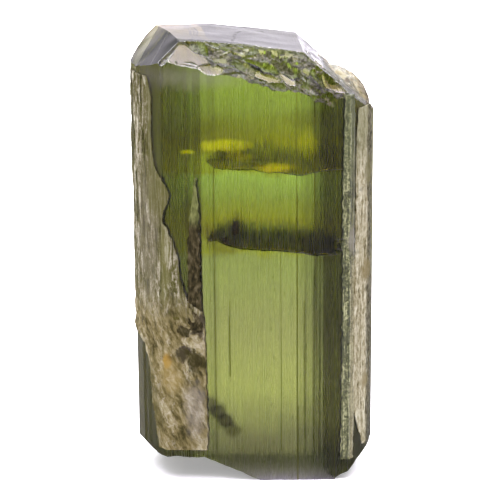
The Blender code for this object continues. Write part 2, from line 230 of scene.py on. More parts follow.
# Edges of the tongue, as the left crust's, and of the right crust and the skin over the right front edge,
# which are measured from that edge
TONGUE = (
    (9.6, 1.50, 2.32),
    (13.0, 1.50, 2.24),
    (15.0, 1.52, 2.22),
    (16.3, 1.64, 2.22),
    (17.6, 1.82, 2.16),
    (19.1, 1.98, 2.05),
)
RIGHT_CRUST = (
    (1.9, 1.60, 2.35),
    (4.0, 0.60, 2.60),
    (6.0, 0.44, 2.75),
    (13.0, 0.40, 2.80),
    (14.6, 0.56, 2.80),
    (18.0, 0.58, 2.75),
    (21.5, 0.62, 2.85),
    (23.3, 0.85, 2.60),
)
RIGHT_SKIN = (
    (1.3, -0.42, 0.40),
    (4.0, -0.36, 0.52),
    (12.0, -0.32, 0.46),
    (18.0, -0.34, 0.44),
    (21.0, -0.30, 0.46),
    (24.2, -0.22, 0.40),
)

# Bodies inside the crystal: centre, radii, raggedness and seed
DARK_INCLUSIONS = (
    ((-0.86, -3.60, 15.95), (0.22, 0.12, 0.40), 0.45, 3.0),
    ((-1.50, -3.40, 15.20), (0.26, 0.10, 0.12), 0.50, 7.0),
)

# Soft clouds in the crystal just under its skin: centre, radii, the colour left by them and their softness
CLOUDS = (
    ((-0.88, -4.5, 15.95), (0.55, 2.0, 0.90), (0.26, 0.20, 0.09), 0.55),
    ((-1.75, -4.5, 14.85), (1.00, 2.0, 0.55), (0.44, 0.38, 0.25), 0.55),
    ((-2.60, -4.5, 15.75), (0.42, 2.0, 0.62), (0.46, 0.36, 0.18), 0.50),
    ((-2.55, -4.5, 4.90), (0.50, 2.0, 0.60), (0.20, 0.17, 0.26), 0.45),
    ((-2.10, -4.5, 4.40), (0.58, 2.0, 0.50), (0.09, 0.08, 0.09), 0.40),
    ((-1.62, -4.5, 3.85), (0.56, 2.0, 0.48), (0.06, 0.05, 0.035), 0.40),
    ((-1.15, -4.5, 3.25), (0.50, 2.0, 0.42), (0.18, 0.16, 0.11), 0.50),
    ((0.40, -4.5, 2.00), (2.00, 2.0, 1.10), (0.85, 0.80, 0.88), 0.60),
    ((3.60, -4.5, 22.80), (1.70, 2.0, 0.50), (0.66, 0.60, 0.50), 0.50),
    ((-0.90, -4.5, 20.27), (2.10, 2.0, 0.06), (0.40, 0.38, 0.30), 0.50),
    ((-2.30, -4.5, 21.90), (2.20, 2.0, 1.10), (0.66, 0.62, 0.55), 0.60),
    ((-3.55, -4.5, 16.80), (0.60, 2.0, 1.60), (0.62, 0.55, 0.42), 0.50),
    ((4.70, -4.5, 15.20), (1.10, 2.0, 1.20), (0.60, 0.55, 0.40), 0.50),
)

# Yellow flashes just under the crystal's skin, painted reflection of light off the cracks: centre, radii and
# strength
FLASHES = (
    ((-1.50, -4.5, 21.15), (1.35, 2.0, 0.36), 0.78),
    ((-3.86, -4.5, 20.75), (0.38, 2.0, 0.11), 0.90),
    ((1.45, -4.5, 19.78), (1.05, 2.0, 0.26), 1.00),
    ((-0.75, -4.5, 20.45), (0.80, 2.0, 0.26), 0.38),
    ((3.40, -4.5, 21.20), (0.50, 2.0, 0.90), 0.24),
)

# Long straight steps on the front face: X at the top, lowest and highest level, depth and half width
STEPS = (
    (-2.25, 1.0, 19.4, 0.018, 0.06),
    (-1.40, 6.0, 11.0, 0.028, 0.05),
    (-1.40, 11.0, 24.0, 0.014, 0.05),
    (-0.45, 2.0, 23.0, 0.010, 0.06),
    (0.62, 3.0, 23.5, 0.010, 0.05),
    (1.78, 1.0, 23.2, 0.018, 0.05),
    (3.28, 1.2, 12.0, 0.026, 0.05),
    (3.28, 12.0, 23.0, 0.018, 0.05),
    (3.85, 13.0, 23.0, 0.015, 0.05),
    (4.70, 1.2, 22.6, 0.012, 0.05),
    (5.45, 2.0, 21.0, 0.012, 0.05),
)

# Yellow flashes on the cracks' walls, painted reflection of light: centre and radii
UPPER_FLASHES = (
    ((-1.70, -0.70, 20.30), (1.30, 1.60, 1.0)),
    ((0.20, -3.10, 19.80), (0.70, 0.50, 1.0)),
    ((1.40, -3.60, 19.70), (1.10, 0.40, 1.0)),
)
LOWER_FLASHES = (((1.40, 0.50, 15.40), (0.80, 0.80, 0.6)),)

# Scoops out of the right front edge: centre and radii
EDGE_SCOOPS = (
    ((5.55, -4.28, 14.95), (0.50, 0.26, 0.62)),
    ((5.85, -4.22, 11.00), (0.30, 0.24, 0.42)),
    ((5.90, -4.20, 22.60), (0.26, 0.22, 0.50)),
    ((4.00, -4.50, 23.90), (0.34, 0.34, 0.24)),
)

# Beds that the crust lies in: their depth at the border, how far they stay inside the crust's border, how
# far in from the border they reach full depth, and how far out they are cut
BED_DEPTH = 0.12
BED_LEDGE = 0.03
BED_SLOPE = 0.8
BED_CUT = 0.6

# The crust's rim: how far it laps over the prism's side, how wide it is and how much of the relief is lost
# there. Under it, how thick the crust is at least, and how far its inner side goes below the bed, with
# so much more in the middle.
RIM_LAP = 0.025
RIM_REACH = 0.14
RIM_FADE = 0.8
LEAST_CRUST = 0.03
CRUST_SINK = 0.10
MIDDLE_SINK = 0.05

# A strip of crust: the section's corner that it is measured from, its edges, how much deeper its bed is
# in the middle, and the grids of the bed and of the piece
Band = collections.namedtuple("Band", "corner rows inset bed_grid grid")
LEFT_BAND = Band(0, LEFT_CRUST, 0.40, (48, 150), (130, 330))
TONGUE_BAND = Band(0, TONGUE, 0.20, (10, 90), (16, 150))
RIGHT_BAND = Band(1, RIGHT_CRUST, 0.30, (20, 140), (36, 300))
SKIN_BAND = Band(1, RIGHT_SKIN, 0.06, (14, 200), (22, 480))

# Cracks that run in from the front face: their line on it as X and height, how steeply they rise
# inwards, how far they reach in, how wide they gape at the face, and the seed of their waves
Crack = collections.namedtuple("Crack", "trace rise reach gap seed")
CRACK_FRONT = -4.25
CRACK_OVERHANG = 0.6
CRACK_LEAST_REACH = 0.4
CRACK_GRID = (90, 56)
UPPER_CRACK = Crack(
    (
        (-2.70, 20.15),
        (-2.20, 19.70),
        (-1.40, 19.65),
        (0.20, 19.62),
        (0.90, 19.45),
        (1.90, 19.44),
        (3.00, 19.24),
        (3.90, 19.44),
        (4.90, 19.58),
        (6.45, 19.60),
    ),
    0.11,
    7.6,
    0.055,
    2.0,
)
LOWER_CRACK = Crack(
    (
        (-2.70, 15.18),
        (-2.20, 15.26),
        (-1.55, 14.92),
        (-0.60, 14.72),
        (0.30, 14.63),
        (1.40, 14.60),
        (2.30, 14.50),
        (3.35, 14.40),
        (3.80, 14.26),
        (4.80, 14.30),
        (6.45, 14.38),
    ),
    0.10,
    7.8,
    0.075,
    9.0,
)

# The stained sheets over the cracks: their right end, how far behind the face they start and, past a
# corner, how fast they draw back, their least reach, lift, thickness and grid
SHEET_RIGHT = 5.6
SHEET_SETBACK = 0.06
SHEET_CORNER = 4.7
SHEET_DRAW_BACK = 0.9
SHEET_LEAST_REACH = 0.3
SHEET_LIFT = 0.03
SHEET_THICKNESS = 0.02
SHEET_GRID = (150, 100)

# Angles in degrees over which an edge is shaded sharp
CUTTER_ANGLE = 30.0
CRYSTAL_ANGLE = 28.0
CRUST_ANGLE = 60.0

# What the crystal's faces carry for its material, how far a break's face leans at least, and how squarely
# a face has to look to the front or back not to be a flank
BREAK_MARKS = ("fresh_break", "polish", "dark_facet", "crumbly", "seam", "rim", "shard", "bevel", "flank")
BREAK_TILT = 0.22
FLANK_LIMIT = 0.93

# Colours along the crystal by share of the zones' height, centre and radii of the haze under the top, the
# dark line at the left edge, and what the flanks look like low down and high up
ZONE_HEIGHT = 28.0
# Colour zoning, but the dark olive bands just above the two cracks are painted reflection of the cracks
ZONE_AND_REFLECTION_BANDS = (
    (0.030, (0.53, 0.44, 0.70)),
    (0.105, (0.54, 0.46, 0.72)),
    (0.150, (1.00, 0.90, 1.00)),
    (0.330, (0.73, 0.64, 0.86)),
    (0.470, (0.60, 0.59, 0.61)),
    (0.512, (0.56, 0.55, 0.49)),
    (0.523, (0.57, 0.49, 0.07)),
    (0.590, (0.45, 0.40, 0.11)),
    (0.640, (0.49, 0.58, 0.43)),
    (0.690, (0.66, 0.77, 0.37)),
    (0.703, (0.51, 0.44, 0.045)),
    (0.765, (0.36, 0.32, 0.042)),
    (0.800, (0.43, 0.46, 0.23)),
    (0.850, (0.51, 0.57, 0.28)),
    (0.930, (0.57, 0.65, 0.25)),
)
# The haze's lavender lightening and its glow are painted sheen; its extra roughness is the surface's own
HAZE = ((-4.3, -4.5, 25.30), (3.2, 2.0, 0.55))
LEFT_EDGE_X = -5.41
# The flanks' colours are painted shade, darker low down
LOW_FLANK_SHADE = (0.17, 0.145, 0.045)
HIGH_FLANK_SHADE = (0.32, 0.275, 0.085)

# Colours of the breaks, the crumbly parts' slant in degrees, and the bands of the left corner facet
SPLINTER_COLOURS = ((0.40, (0.02, 0.016, 0.006)), (0.50, (0.22, 0.135, 0.15)), (0.60, (0.74, 0.44, 0.78)))
LEAFY_COLOURS = ((0.40, (0.02, 0.022, 0.002)), (0.56, (0.17, 0.17, 0.02)))
# Shards lit and shaded one by one at random: painted light and shade
SHARD_SHADES = ((0.30, (0.12, 0.12, 0.12)), (0.60, (0.60, 0.60, 0.60)), (0.80, (1.0, 1.0, 1.0)))
RIM_COLOURS = ((0.42, (0.025, 0.021, 0.010)), (0.60, (0.22, 0.18, 0.16)))
CRUMBLY_SLANT = -42.0
CRUMBLY_COLOURS = ((0.42, (0.12, 0.07, 0.11)), (0.50, (0.38, 0.24, 0.42)), (0.57, (0.92, 0.66, 1.0)))
# Painted light and shade: pale bands of painted reflection among dark bands of painted shade
FACET_BANDS = (
    (0.10, (0.20, 0.18, 0.20)),
    (0.30, (0.90, 0.80, 0.95)),
    (0.335, (0.02, 0.02, 0.02)),
    (0.38, (0.12, 0.09, 0.12)),
    (0.70, (0.14, 0.11, 0.14)),
    (0.74, (0.45, 0.40, 0.45)),
    (0.78, (0.03, 0.02, 0.03)),
    (1.00, (0.05, 0.04, 0.05)),
)

# The left crust: colours of its strands and of its lumps, the lumps' slant in degrees, stains as centre,
# radii, strength and colour, hollows as centre, radii and colour, and a tint over all
FIBRE_COLOURS = (
    (0.41, (0.022, 0.020, 0.006)),
    (0.455, (0.060, 0.057, 0.018)),
    (0.49, (0.105, 0.100, 0.036)),
    (0.515, (0.150, 0.134, 0.085)),
    (0.545, (0.260, 0.235, 0.180)),
    (0.60, (0.520, 0.500, 0.440)),
)
LUMP_COLOURS = (
    (0.39, (0.050, 0.042, 0.014)),
    (0.44, (0.115, 0.094, 0.038)),
    (0.49, (0.185, 0.150, 0.070)),
    (0.53, (0.250, 0.210, 0.118)),
    (0.58, (0.330, 0.290, 0.190)),
    (0.65, (0.520, 0.490, 0.400)),
)
LUMP_SLANT = 25.0
TAN_STAINS = (
    ((-5.18, -4.8, 7.65), (0.26, 2.0, 0.45), 0.85, (0.36, 0.215, 0.035)),
    ((-4.95, -4.8, 6.7), (0.62, 2.0, 0.95), 0.50, (0.30, 0.225, 0.085)),
    ((-3.50, -4.8, 4.6), (0.62, 2.0, 1.60), 0.40, (0.27, 0.245, 0.26)),
    ((-6.30, -3.0, 15.5), (0.80, 2.0, 4.00), 0.35, (0.22, 0.195, 0.16)),
    ((-5.30, -4.8, 14.5), (0.28, 2.0, 3.20), 0.60, (0.150, 0.145, 0.055)),
    ((-6.70, -3.0, 3.8), (1.10, 3.0, 3.60), 0.70, (0.095, 0.085, 0.032)),
)
TAN_HOLLOWS = (
    ((-4.22, -4.4, 8.05), (0.50, 2.0, 0.62), (0.055, 0.043, 0.036)),
    ((-3.45, -4.4, 7.70), (0.42, 2.0, 0.85), (0.040, 0.034, 0.009)),
    ((-4.12, -4.4, 9.50), (0.36, 2.0, 0.42), (0.035, 0.028, 0.012)),
    ((-3.25, -4.4, 9.90), (0.34, 2.0, 0.66), (0.055, 0.044, 0.028)),
    ((-4.60, -4.4, 10.30), (0.22, 2.0, 0.26), (0.070, 0.062, 0.012)),
)
TAN_TINT = (0.71, 0.715, 0.61)

# The tongue: its colours, the heights between which its tip turns pale, and the tip's colours
TONGUE_COLOURS = (
    (0.38, (0.007, 0.006, 0.002)),
    (0.5, (0.026, 0.021, 0.007)),
    (0.58, (0.052, 0.042, 0.020)),
    (0.70, (0.090, 0.075, 0.042)),
)
TONGUE_TIP = (15.9, 16.9)
TONGUE_TIP_COLOURS = ((0.40, (0.060, 0.066, 0.018)), (0.60, (0.16, 0.17, 0.06)))

# The right crust: its colours, its dark outer edge's, stains as centre, radii and colour, and a tint
CREAM_COLOURS = (
    (0.38, (0.080, 0.065, 0.026)),
    (0.44, (0.21, 0.18, 0.10)),
    (0.50, (0.35, 0.315, 0.21)),
    (0.60, (0.58, 0.55, 0.44)),
)
CREAM_EDGE_COLOURS = ((0.42, (0.03, 0.025, 0.010)), (0.60, (0.16, 0.145, 0.095)))
CREAM_STAINS = (
    ((7.05, -2.4, 13.1), (0.34, 1.4, 0.80), (0.19, 0.15, 0.065)),
    ((7.10, -2.4, 19.2), (0.26, 1.4, 0.90), (0.17, 0.155, 0.08)),
    ((6.95, -2.4, 6.0), (0.24, 1.4, 0.60), (0.22, 0.18, 0.09)),
)
CREAM_TINT = (0.68, 0.69, 0.64)

# The skin over the right front edge: colours of its chipped strip, of the rest and of the rest low down,
# its lilac patch as centre and radii, and a tint
STRIP_COLOURS = (
    (0.42, (0.030, 0.036, 0.012)),
    (0.48, (0.095, 0.105, 0.042)),
    (0.52, (0.190, 0.200, 0.105)),
    (0.59, (0.56, 0.56, 0.42)),
)
OLIVE_COLOURS = ((0.42, (0.030, 0.030, 0.010)), (0.50, (0.100, 0.100, 0.045)), (0.60, (0.26, 0.255, 0.17)))
BEIGE_COLOURS = ((0.42, (0.130, 0.115, 0.060)), (0.50, (0.300, 0.275, 0.190)), (0.60, (0.48, 0.455, 0.36)))
LILAC_PATCH = ((6.25, -4.2, 15.20), (0.40, 1.2, 0.75))
SKIN_TINT = (0.49, 0.49, 0.34)

# The stains on the cracks' walls from dark to bright, how much they cover, and the dark inclusions
UPPER_STAIN = ((0.32, (0.30, 0.25, 0.004)), (0.52, (0.60, 0.52, 0.006)), (0.72, (0.75, 0.68, 0.02)))
UPPER_COVER = 0.22
LOWER_STAIN = ((0.32, (0.16, 0.130, 0.004)), (0.52, (0.38, 0.330, 0.007)), (0.72, (0.52, 0.48, 0.01)))
LOWER_COVER = 0.48
INCLUSION_DARK = (0.11, 0.09, 0.035)
INCLUSION_PALE = (0.242, 0.198, 0.077)
MATRIX_SHINE = 0.08

# The room's light: all round, behind the crystal and overhead
ROOM_LIGHT = (0.40, 0.40, 0.41)
BACK_LIGHT = (0.98, 0.93, 1.02)
OVERHEAD_LIGHT = (5.6, 5.15, 6.0)

# Soft lights: size, place and the point that they face, in metres; and the camera's lens in mm
SOFTBOX = ((0.26, 0.20), (0.0, 0.145, 0.13), (0.0, 0.145, 0.0))
KEY_LIGHT = ((0.30, 0.30), (-0.35, -0.45, 0.50), (0.0, 0.0, 0.014))
CAMERA_LENS = 207.4


def smooth_step(value):
    """Zero below 0, one above 1 and an even rise between."""
    held = min(1.0, max(0.0, value))
    return held * held * (3.0 - 2.0 * held)


def lean(x, z):
    """Where a point of the prism's side stands once its left side leans in low down."""
    right, left = SECTION[4][0], SECTION[9][0]
    return x + LEAN * (1.0 - z / LEAN_LEVEL) * (right - x) / (right - left)


CORNERS = [Vector(entry[:2]) for entry in SECTION] + [Vector(SECTION[0][:2])]


def face_outward(index):
    """The way that one face of the section looks."""
    start, end = CORNERS[index], CORNERS[index + 1]
    return Vector((end.y - start.y, start.x - end.x)).normalized()


def face_point(index, along):
    """A point on one crowned face of the section."""
    start, end = CORNERS[index], CORNERS[index + 1]
    return start.lerp(end, along) + face_outward(index) * SECTION[index][2] * 4.0 * along * (1.0 - along)


def coarse_ridges():
    """For each face, the ridges' places along it and how deep each stands in."""
    dice = random.Random(RIDGE_SEED)
    faces = []
    for _, _, _, ridges, _ in SECTION:
        rows = []
        for step in range(ridges):
            along = (step + dice.uniform(-0.3, 0.3) * (step > 0)) / ridges
            rows.append((along, RIDGE_DEPTH * dice.uniform(-1.0, 0.4) * (step > 0)))
        faces.append(rows + [(1.0, 0.0)])
    return faces


RIDGES = coarse_ridges()


def ridge_depth(index, along):
    """The coarse relief of a face, straight between its ridges."""
    for low, high in zip(RIDGES[index], RIDGES[index][1:]):
        if along <= high[0]:
            share = (along - low[0]) / (high[0] - low[0])
            return low[1] + (high[1] - low[1]) * share
    return 0.0


def round_section(first_corner, distance):
    """The face's number and the share along it, this far round the section from a corner."""
    index, left = first_corner, distance
    while left < 0.0:
        index = (index - 1) % len(SECTION)
        left += (CORNERS[index + 1] - CORNERS[index]).length
    while left > (CORNERS[index + 1] - CORNERS[index]).length:
        left -= (CORNERS[index + 1] - CORNERS[index]).length
        index = (index + 1) % len(SECTION)
    return index, left / (CORNERS[index + 1] - CORNERS[index]).length


def place(x, y, z):
    """A point in metres in the part's frame."""
    return Vector((x - BOX_MIDDLE[0], y - BOX_MIDDLE[1], z)) * MM


def plane_height(plane, x, y):
    """The height of a break plane above this point of the floor."""
    return plane[0] + plane[1] * x + plane[2] * y


def cell(x, y, level, size):
    """A point in a pattern of cells, in cells, and the middle of the cell that it is in."""
    spot = Vector((x, SHORTER_BY * y, level)) / size
    return spot, noise.voronoi(spot)[1][0]


def splinters(x, y):
    """Small flat splinters of the bevel, each with its own drop and tilt."""
    spot, centre = cell(x, y, 0.0, SPLINTER_SIZE)
    lean_x = noise.noise(centre * 3.7)
    lean_y = noise.noise(centre * 3.7 + Vector((6.0, 2.0, 5.0)))
    drop = noise.noise(centre * 5.3 + Vector((9.0, 4.0, 1.0)))
    away = spot - centre
    return SPLINTER_TILT * (away.x * lean_x + away.y * lean_y) + SPLINTER_DROP * drop


def shards(x, behind):
    """The small shards that the bevel is broken into: their relief and a number from 0 to 1 for each."""
    spot, centre = cell(x, behind, 3.0, SHARD_SIZE)
    lean_x = noise.noise(centre * 5.1)
    lean_y = noise.noise(centre * 4.3 + Vector((3.0, 8.0, 2.0)))
    pick = noise.noise(centre * 7.3 + Vector((1.0, 5.0, 9.0)))
    away = (spot - centre) * SHARD_SIZE
    relief = SHARD_TILT * (away.x * lean_x + away.y * lean_y) + SHARD_DROP * pick
    return relief, min(1.0, max(0.0, 0.5 + 1.1 * pick))


def mound(x, y, entry):
    """The height of a round mound with this centre, radius and height."""
    centre_x, centre_y, radius, height = entry
    away = math.hypot(x - centre_x, y - centre_y) / radius
    return height * max(0.0, 1.0 - away * away)


def chip_floor(chip, x, y):
    """The height of a chip's hollow floor over the bevel's plane."""
    turn = math.radians(chip.turn)
    away_x, away_y = x - chip.x, y - chip.y
    along = (away_x * math.cos(turn) + away_y * math.sin(turn)) / chip.half_length
    across = (away_y * math.cos(turn) - away_x * math.sin(turn)) / chip.half_width
    ragged = 1.0 + 0.5 * noise.noise(Vector((x * 1.7, y * 1.7, chip.x)))
    rise = (along * along + across * across) * ragged
    return chip.drop * (rise * math.sqrt(rise) - 1.0) + chip.tilt_x * away_x + chip.tilt_y * away_y


def comb_share(x, y):
    """How much of the comb of fine upright ridges there is at a point of the bevel."""
    below = (COMB_TOP[0] + COMB_TOP[1] * x - y) / COMB_WIDTH
    ends = smooth_step((x - COMB_LEFT) / 0.4) * smooth_step((COMB_RIGHT - x) / 0.4)
    return ends * smooth_step(below / 0.15) * smooth_step((1.0 - below) / 0.25)


def lowest_floor(x, behind):
    """The lowest of the bevel's floors over its plane, its polish and a number that says which it is."""
    _, centre = cell(x, behind, 0.0, SPLINTER_SIZE)
    best = (splinters(x, behind), 0.0, round(centre.x * 1000.0) + FIRST_SPLINTER)
    for number, chip in enumerate(CHIPS):
        if abs(x - chip.x) < 2.0 * chip.half_length and abs(behind - chip.y) < 2.0 * chip.half_length:
            best = min(best, (chip_floor(chip, x, behind), chip.polish, number))
    return best


def bevel_back(x, y):
    """How much the twist raises the bevel, and where the point would lie without it."""
    twist = BEVEL_TWIST * max(0.0, x) * (y - BEVEL_TWIST_FROM_Y)
    return twist, y + twist / BEVEL_TWIST_BACK


def share_along(x0, y0, x1, y1, x, y):
    """How far along a straight line a point lies, as a share of the line."""
    return ((x - x0) * (x1 - x0) + (y - y0) * (y1 - y0)) / ((x1 - x0) ** 2 + (y1 - y0) ** 2)


def line_distance(points, x, y):
    """How far a point is from a line of straight pieces."""
    nearest = math.inf
    for (x0, y0), (x1, y1) in zip(points, points[1:]):
        along = min(1.0, max(0.0, share_along(x0, y0, x1, y1, x, y)))
        nearest = min(nearest, math.hypot(x - x0 - (x1 - x0) * along, y - y0 - (y1 - y0) * along))
    return nearest


def scratched(x, behind):
    """How near a point of the bevel is to one of its scratches."""
    share = 0.0
    for x0, y0, x1, y1, bow, width in SCRATCHES:
        along = share_along(x0, y0, x1, y1, x, behind)
        if -0.05 < along < 1.05:
            line_x = x0 + (x1 - x0) * along
            line_y = y0 + (y1 - y0) * along + bow * 4.0 * along * (1.0 - along)
            away = math.hypot(x - line_x, behind - line_y)
            share = max(share, 1.7 * (1.0 - away / (width * (1.15 - abs(2.0 * along - 1.0)))))
    return min(1.0, max(0.0, share))


def lip_share(x, y, gap):
    """How much of the granular lip there is at a point of the glossy break, by its drop under the bevel."""
    depth = LIP_DEPTH * smooth_step((LIP_END[0] - x) / LIP_END[1])
    reach = depth + 0.10 * noise.noise(Vector((x * 2.5, y * 1.5, 7.0)))
    return smooth_step((reach + gap) / 0.10)


def top_break(x, y):
    """The broken top at a point: its height and how polished, dark and crumbly it is."""
    glossy = min(plane_height(GLOSSY_BREAK, x, y), plane_height(GLOSSY_SAG, x, y))
    slope = plane_height(RIGHT_SLOPE, x, y)
    corner = plane_height(LEFT_BEVEL, x, y)
    twist, behind = bevel_back(x, y)
    bevel = plane_height(FRONT_BEVEL, x, y) + twist
    others = min(glossy, slope, corner)
    on_bevel = smooth_step((others - bevel + 0.20) / 0.4)
    on_slope = smooth_step((min(glossy, bevel) - slope + 0.2) / 0.8)
    lift, polish, _ = lowest_floor(x, behind)
    lift += (1.0 - smooth_step((polish - 0.5) / 0.4)) * shards(x, behind)[0]
    floor = bevel + lift - SCRATCH_DEPTH * scratched(x, behind)
    rim = smooth_step((RIM_WIDTH - others + floor) / 0.08) * float(floor < others)
    comb = comb_share(x, behind)
    strand = x + 0.25 * (behind + 2.4) + 0.05 * noise.noise(Vector((x * 2.0, behind * 2.0, 2.0)))
    strand_height = noise.noise(Vector((strand / COMB_SPACING * 1.6, behind * 0.4, 12.0)))
    floor -= comb * COMB_DEPTH * (1.0 + 1.6 * strand_height)
    polish *= 1.0 - comb
    height = min(floor, others)
    if floor > others:
        polish = 1.0
    dark = float(corner <= min(glossy, slope, floor) + 0.02)
    height += 0.45 * on_slope * splinters(x, y)
    height += GLOSSY_RIPPLE * noise.noise(Vector((x, y, 0.0)) * 0.55)
    height += mound(x, y, HUMP)
    low_slope = smooth_step((slope - 25.6) / -0.5) * smooth_step((floor - slope) / 0.15)
    crumbly = max(smooth_step(mound(x, y, HUMP) / 0.25), low_slope)
    fine = noise.noise(Vector((x * 3.0, y * 3.0, 4.0))) + 0.6 * noise.noise(Vector((x * 7.0, y * 7.0, 9.0)))
    rough = max(on_bevel * (1.0 - polish), crumbly, rim)
    height += (0.035 * rough + 0.03 * on_slope) * fine
    return height, polish * (1.0 - crumbly), dark, crumbly


def on_bevel_side(x, y):
    """Whether a point of the top belongs to the front bevel."""
    twist, behind = bevel_back(x, y)
    floor = plane_height(FRONT_BEVEL, x, y) + twist + lowest_floor(x, behind)[0]
    return float(floor < min(plane_height(plane, x, y) for plane in TOP_PLANES))


def top_seam(x, y):
    """How dark the line is where two chips of the bevel meet, and how much of the granular band there is."""
    twist, behind = bevel_back(x, y)
    here = lowest_floor(x, behind)
    others = min(plane_height(plane, x, y) for plane in TOP_PLANES)
    gap = others - plane_height(FRONT_BEVEL, x, y) - twist - here[0]
    if gap < 0.0:
        curl = smooth_step((CURL_WIDTH - line_distance(CURL, x, y)) / 0.10)
        back = y + 0.15 * noise.noise(Vector((x * 2.0, 0.0, 5.0)))
        # Painted shade along the back of the glossy break
        on_back_line = BACK_LINE[0] < x < BACK_LINE[1] and back > BACK_LINE[2]
        curl *= 0.5 + noise.noise(Vector((x * 5.0, y * 3.0, 2.0)))
        lip = lip_share(x, y, gap) if plane_height(LEFT_BEVEL, x, y) > others else 0.0
        return SEAM_DARKNESS * on_back_line, max(curl, lip)
    beside = {lowest_floor(x + SEAM_REACH, behind)[2], lowest_floor(x, behind + SEAM_REACH)[2], here[2]}
    seam = SEAM_DARKNESS * (len(beside) > 1) * (FAINT_SEAM if min(beside) >= FIRST_SPLINTER else 1.0)
    return max(seam, scratched(x, behind)), smooth_step((RIM_WIDTH - gap) / 0.08)


def top_height(x, y):
    """The height of the broken top."""
    return top_break(x, y)[0]


def base_height(x, y):
    """How far the broken base stands off the floor: negative where the flat is kept whole."""
    ruffle = BASE_RUFFLE * noise.noise(Vector((x, y, 3.0)) * 1.1)
    sway = BASE_SWAY * noise.noise(Vector((x, y, 7.0)) * 0.45)
    corner = BASE_RISE_LEFT * (BASE_RISE_FROM_X - x) + BASE_RISE_FORWARD * (BASE_RISE_FROM_Y - y)
    chips = max(plane_height(RIGHT_CHIP, x, y), plane_height(LEFT_CHIP, x, y))
    rise = max(min(BASE_RISE, corner + sway), chips) + ruffle
    fine = 0.03 * noise.noise(Vector((x * 3.0, y * 3.0, 5.0)))
    return rise + fine if rise > 0.04 else -0.3


def select_only(obj):
    """Makes an object the one that is selected and active."""
    bpy.ops.object.select_all(action="DESELECT")
    obj.select_set(True)
    bpy.context.view_layer.objects.active = obj


def finish_mesh(obj, angle):
    """Turns the faces outwards and shades them smooth, except over sharp edges."""
    select_only(obj)
    bpy.ops.object.mode_set(mode="EDIT")
    bpy.ops.mesh.select_all(action="SELECT")
    bpy.ops.mesh.normals_make_consistent(inside=False)
    bpy.ops.object.mode_set(mode="OBJECT")
    bpy.ops.object.shade_smooth_by_angle(angle=math.radians(angle))


def named(name):
    """The object just made, once it and its mesh have this name."""
    obj = bpy.context.object
    obj.name = name
    obj.data.name = name
    return obj


def add_grid(name, grid):
    """A flat grid whose points run from 0 to 1 both ways, as an object of that name."""
    bpy.ops.object.select_all(action="DESELECT")
    bpy.ops.mesh.primitive_grid_add(x_subdivisions=grid[0], y_subdivisions=grid[1], size=1.0)
    return named(name)


def add_ball(name, fineness):
    """A ball of radius 1, as an object of that name."""
    bpy.ops.object.select_all(action="DESELECT")
    bpy.ops.mesh.primitive_ico_sphere_add(subdivisions=fineness, radius=1.0)
    return named(name)


def ball_point(centre, radii, way, reach):
    """A point of a ball that is stretched to its radii."""
    return place(*(centre[axis] + way[axis] * radii[axis] * reach for axis in range(3)))


def thicken(obj, shape_near, shape_far):
    """Closes a grid into a block: one side follows the first function and the extruded one the second."""
    select_only(obj)
    bpy.ops.object.mode_set(mode="EDIT")
    bpy.ops.mesh.select_all(action="SELECT")
    bpy.ops.mesh.extrude_region_move(TRANSFORM_OT_translate={"value": (0.0, 0.0, 1.0)})
    bpy.ops.object.mode_set(mode="OBJECT")
    for vertex in obj.data.vertices:
        across, up = vertex.co.x + 0.5, vertex.co.y + 0.5
        vertex.co = (shape_far if vertex.co.z > 0.5 else shape_near)(across, up)


def cut(target, cutter):
    """Takes one object's shape out of another's and removes the cutter."""
    finish_mesh(cutter, CUTTER_ANGLE)
    select_only(target)
    modifier = target.modifiers.new("cut", "BOOLEAN")
    modifier.operation = "DIFFERENCE"
    modifier.object = cutter
    modifier.solver = "MANIFOLD"
    before = len(target.data.polygons)
    bpy.ops.object.modifier_apply(modifier=modifier.name)
    if len(target.data.polygons) in (0, before):
        raise RuntimeError(f"{cutter.name} cut nothing from {target.name}")
    bpy.data.objects.remove(cutter, do_unlink=True)


def break_block(name, height, grid, far_side):
    """A block with one broken side that follows a height function and one flat far side."""
    block = add_grid(name, grid)

    def spot(across, up):
        x = BREAK_HALF_X * (2.0 * across - 1.0)
        if up < BREAK_FRONT_SHARE:
            return x, BREAK_FRONT + (BREAK_FRONT_END - BREAK_FRONT) * up / BREAK_FRONT_SHARE
        length = BREAK_BACK - BREAK_FRONT_END
        return x, BREAK_FRONT_END + length * (up - BREAK_FRONT_SHARE) / (1.0 - BREAK_FRONT_SHARE)

    def near(across, up):
        x, y = spot(across, up)
        return place(x, y, height(x, y))

    def far(across, up):
        return place(*spot(across, up), far_side)

    thicken(block, near, far)
    return block


def step_relief(x, z):
    """The long grooves of the front face."""
    depth = 0.0
    for step_x, low, high, deep, half_width in STEPS:
        if abs(x - step_x) < half_width and low < z < high:
            depth += deep * (1.0 - abs(x - step_x) / half_width)
    return -depth


def fine_relief(distance, z):
    """Fine growth ridges on the prism's side, in mm, a little different from end to end."""
    slow = noise.noise(Vector((distance * 2.6, z * 0.035, 1.0)))
    middle = noise.noise(Vector((distance * 6.5, z * 0.05, 4.0)))
    quick = noise.noise(Vector((distance * 15.0, z * 0.06, 8.0)))
    return 0.018 * slow + 0.012 * middle + 0.006 * quick


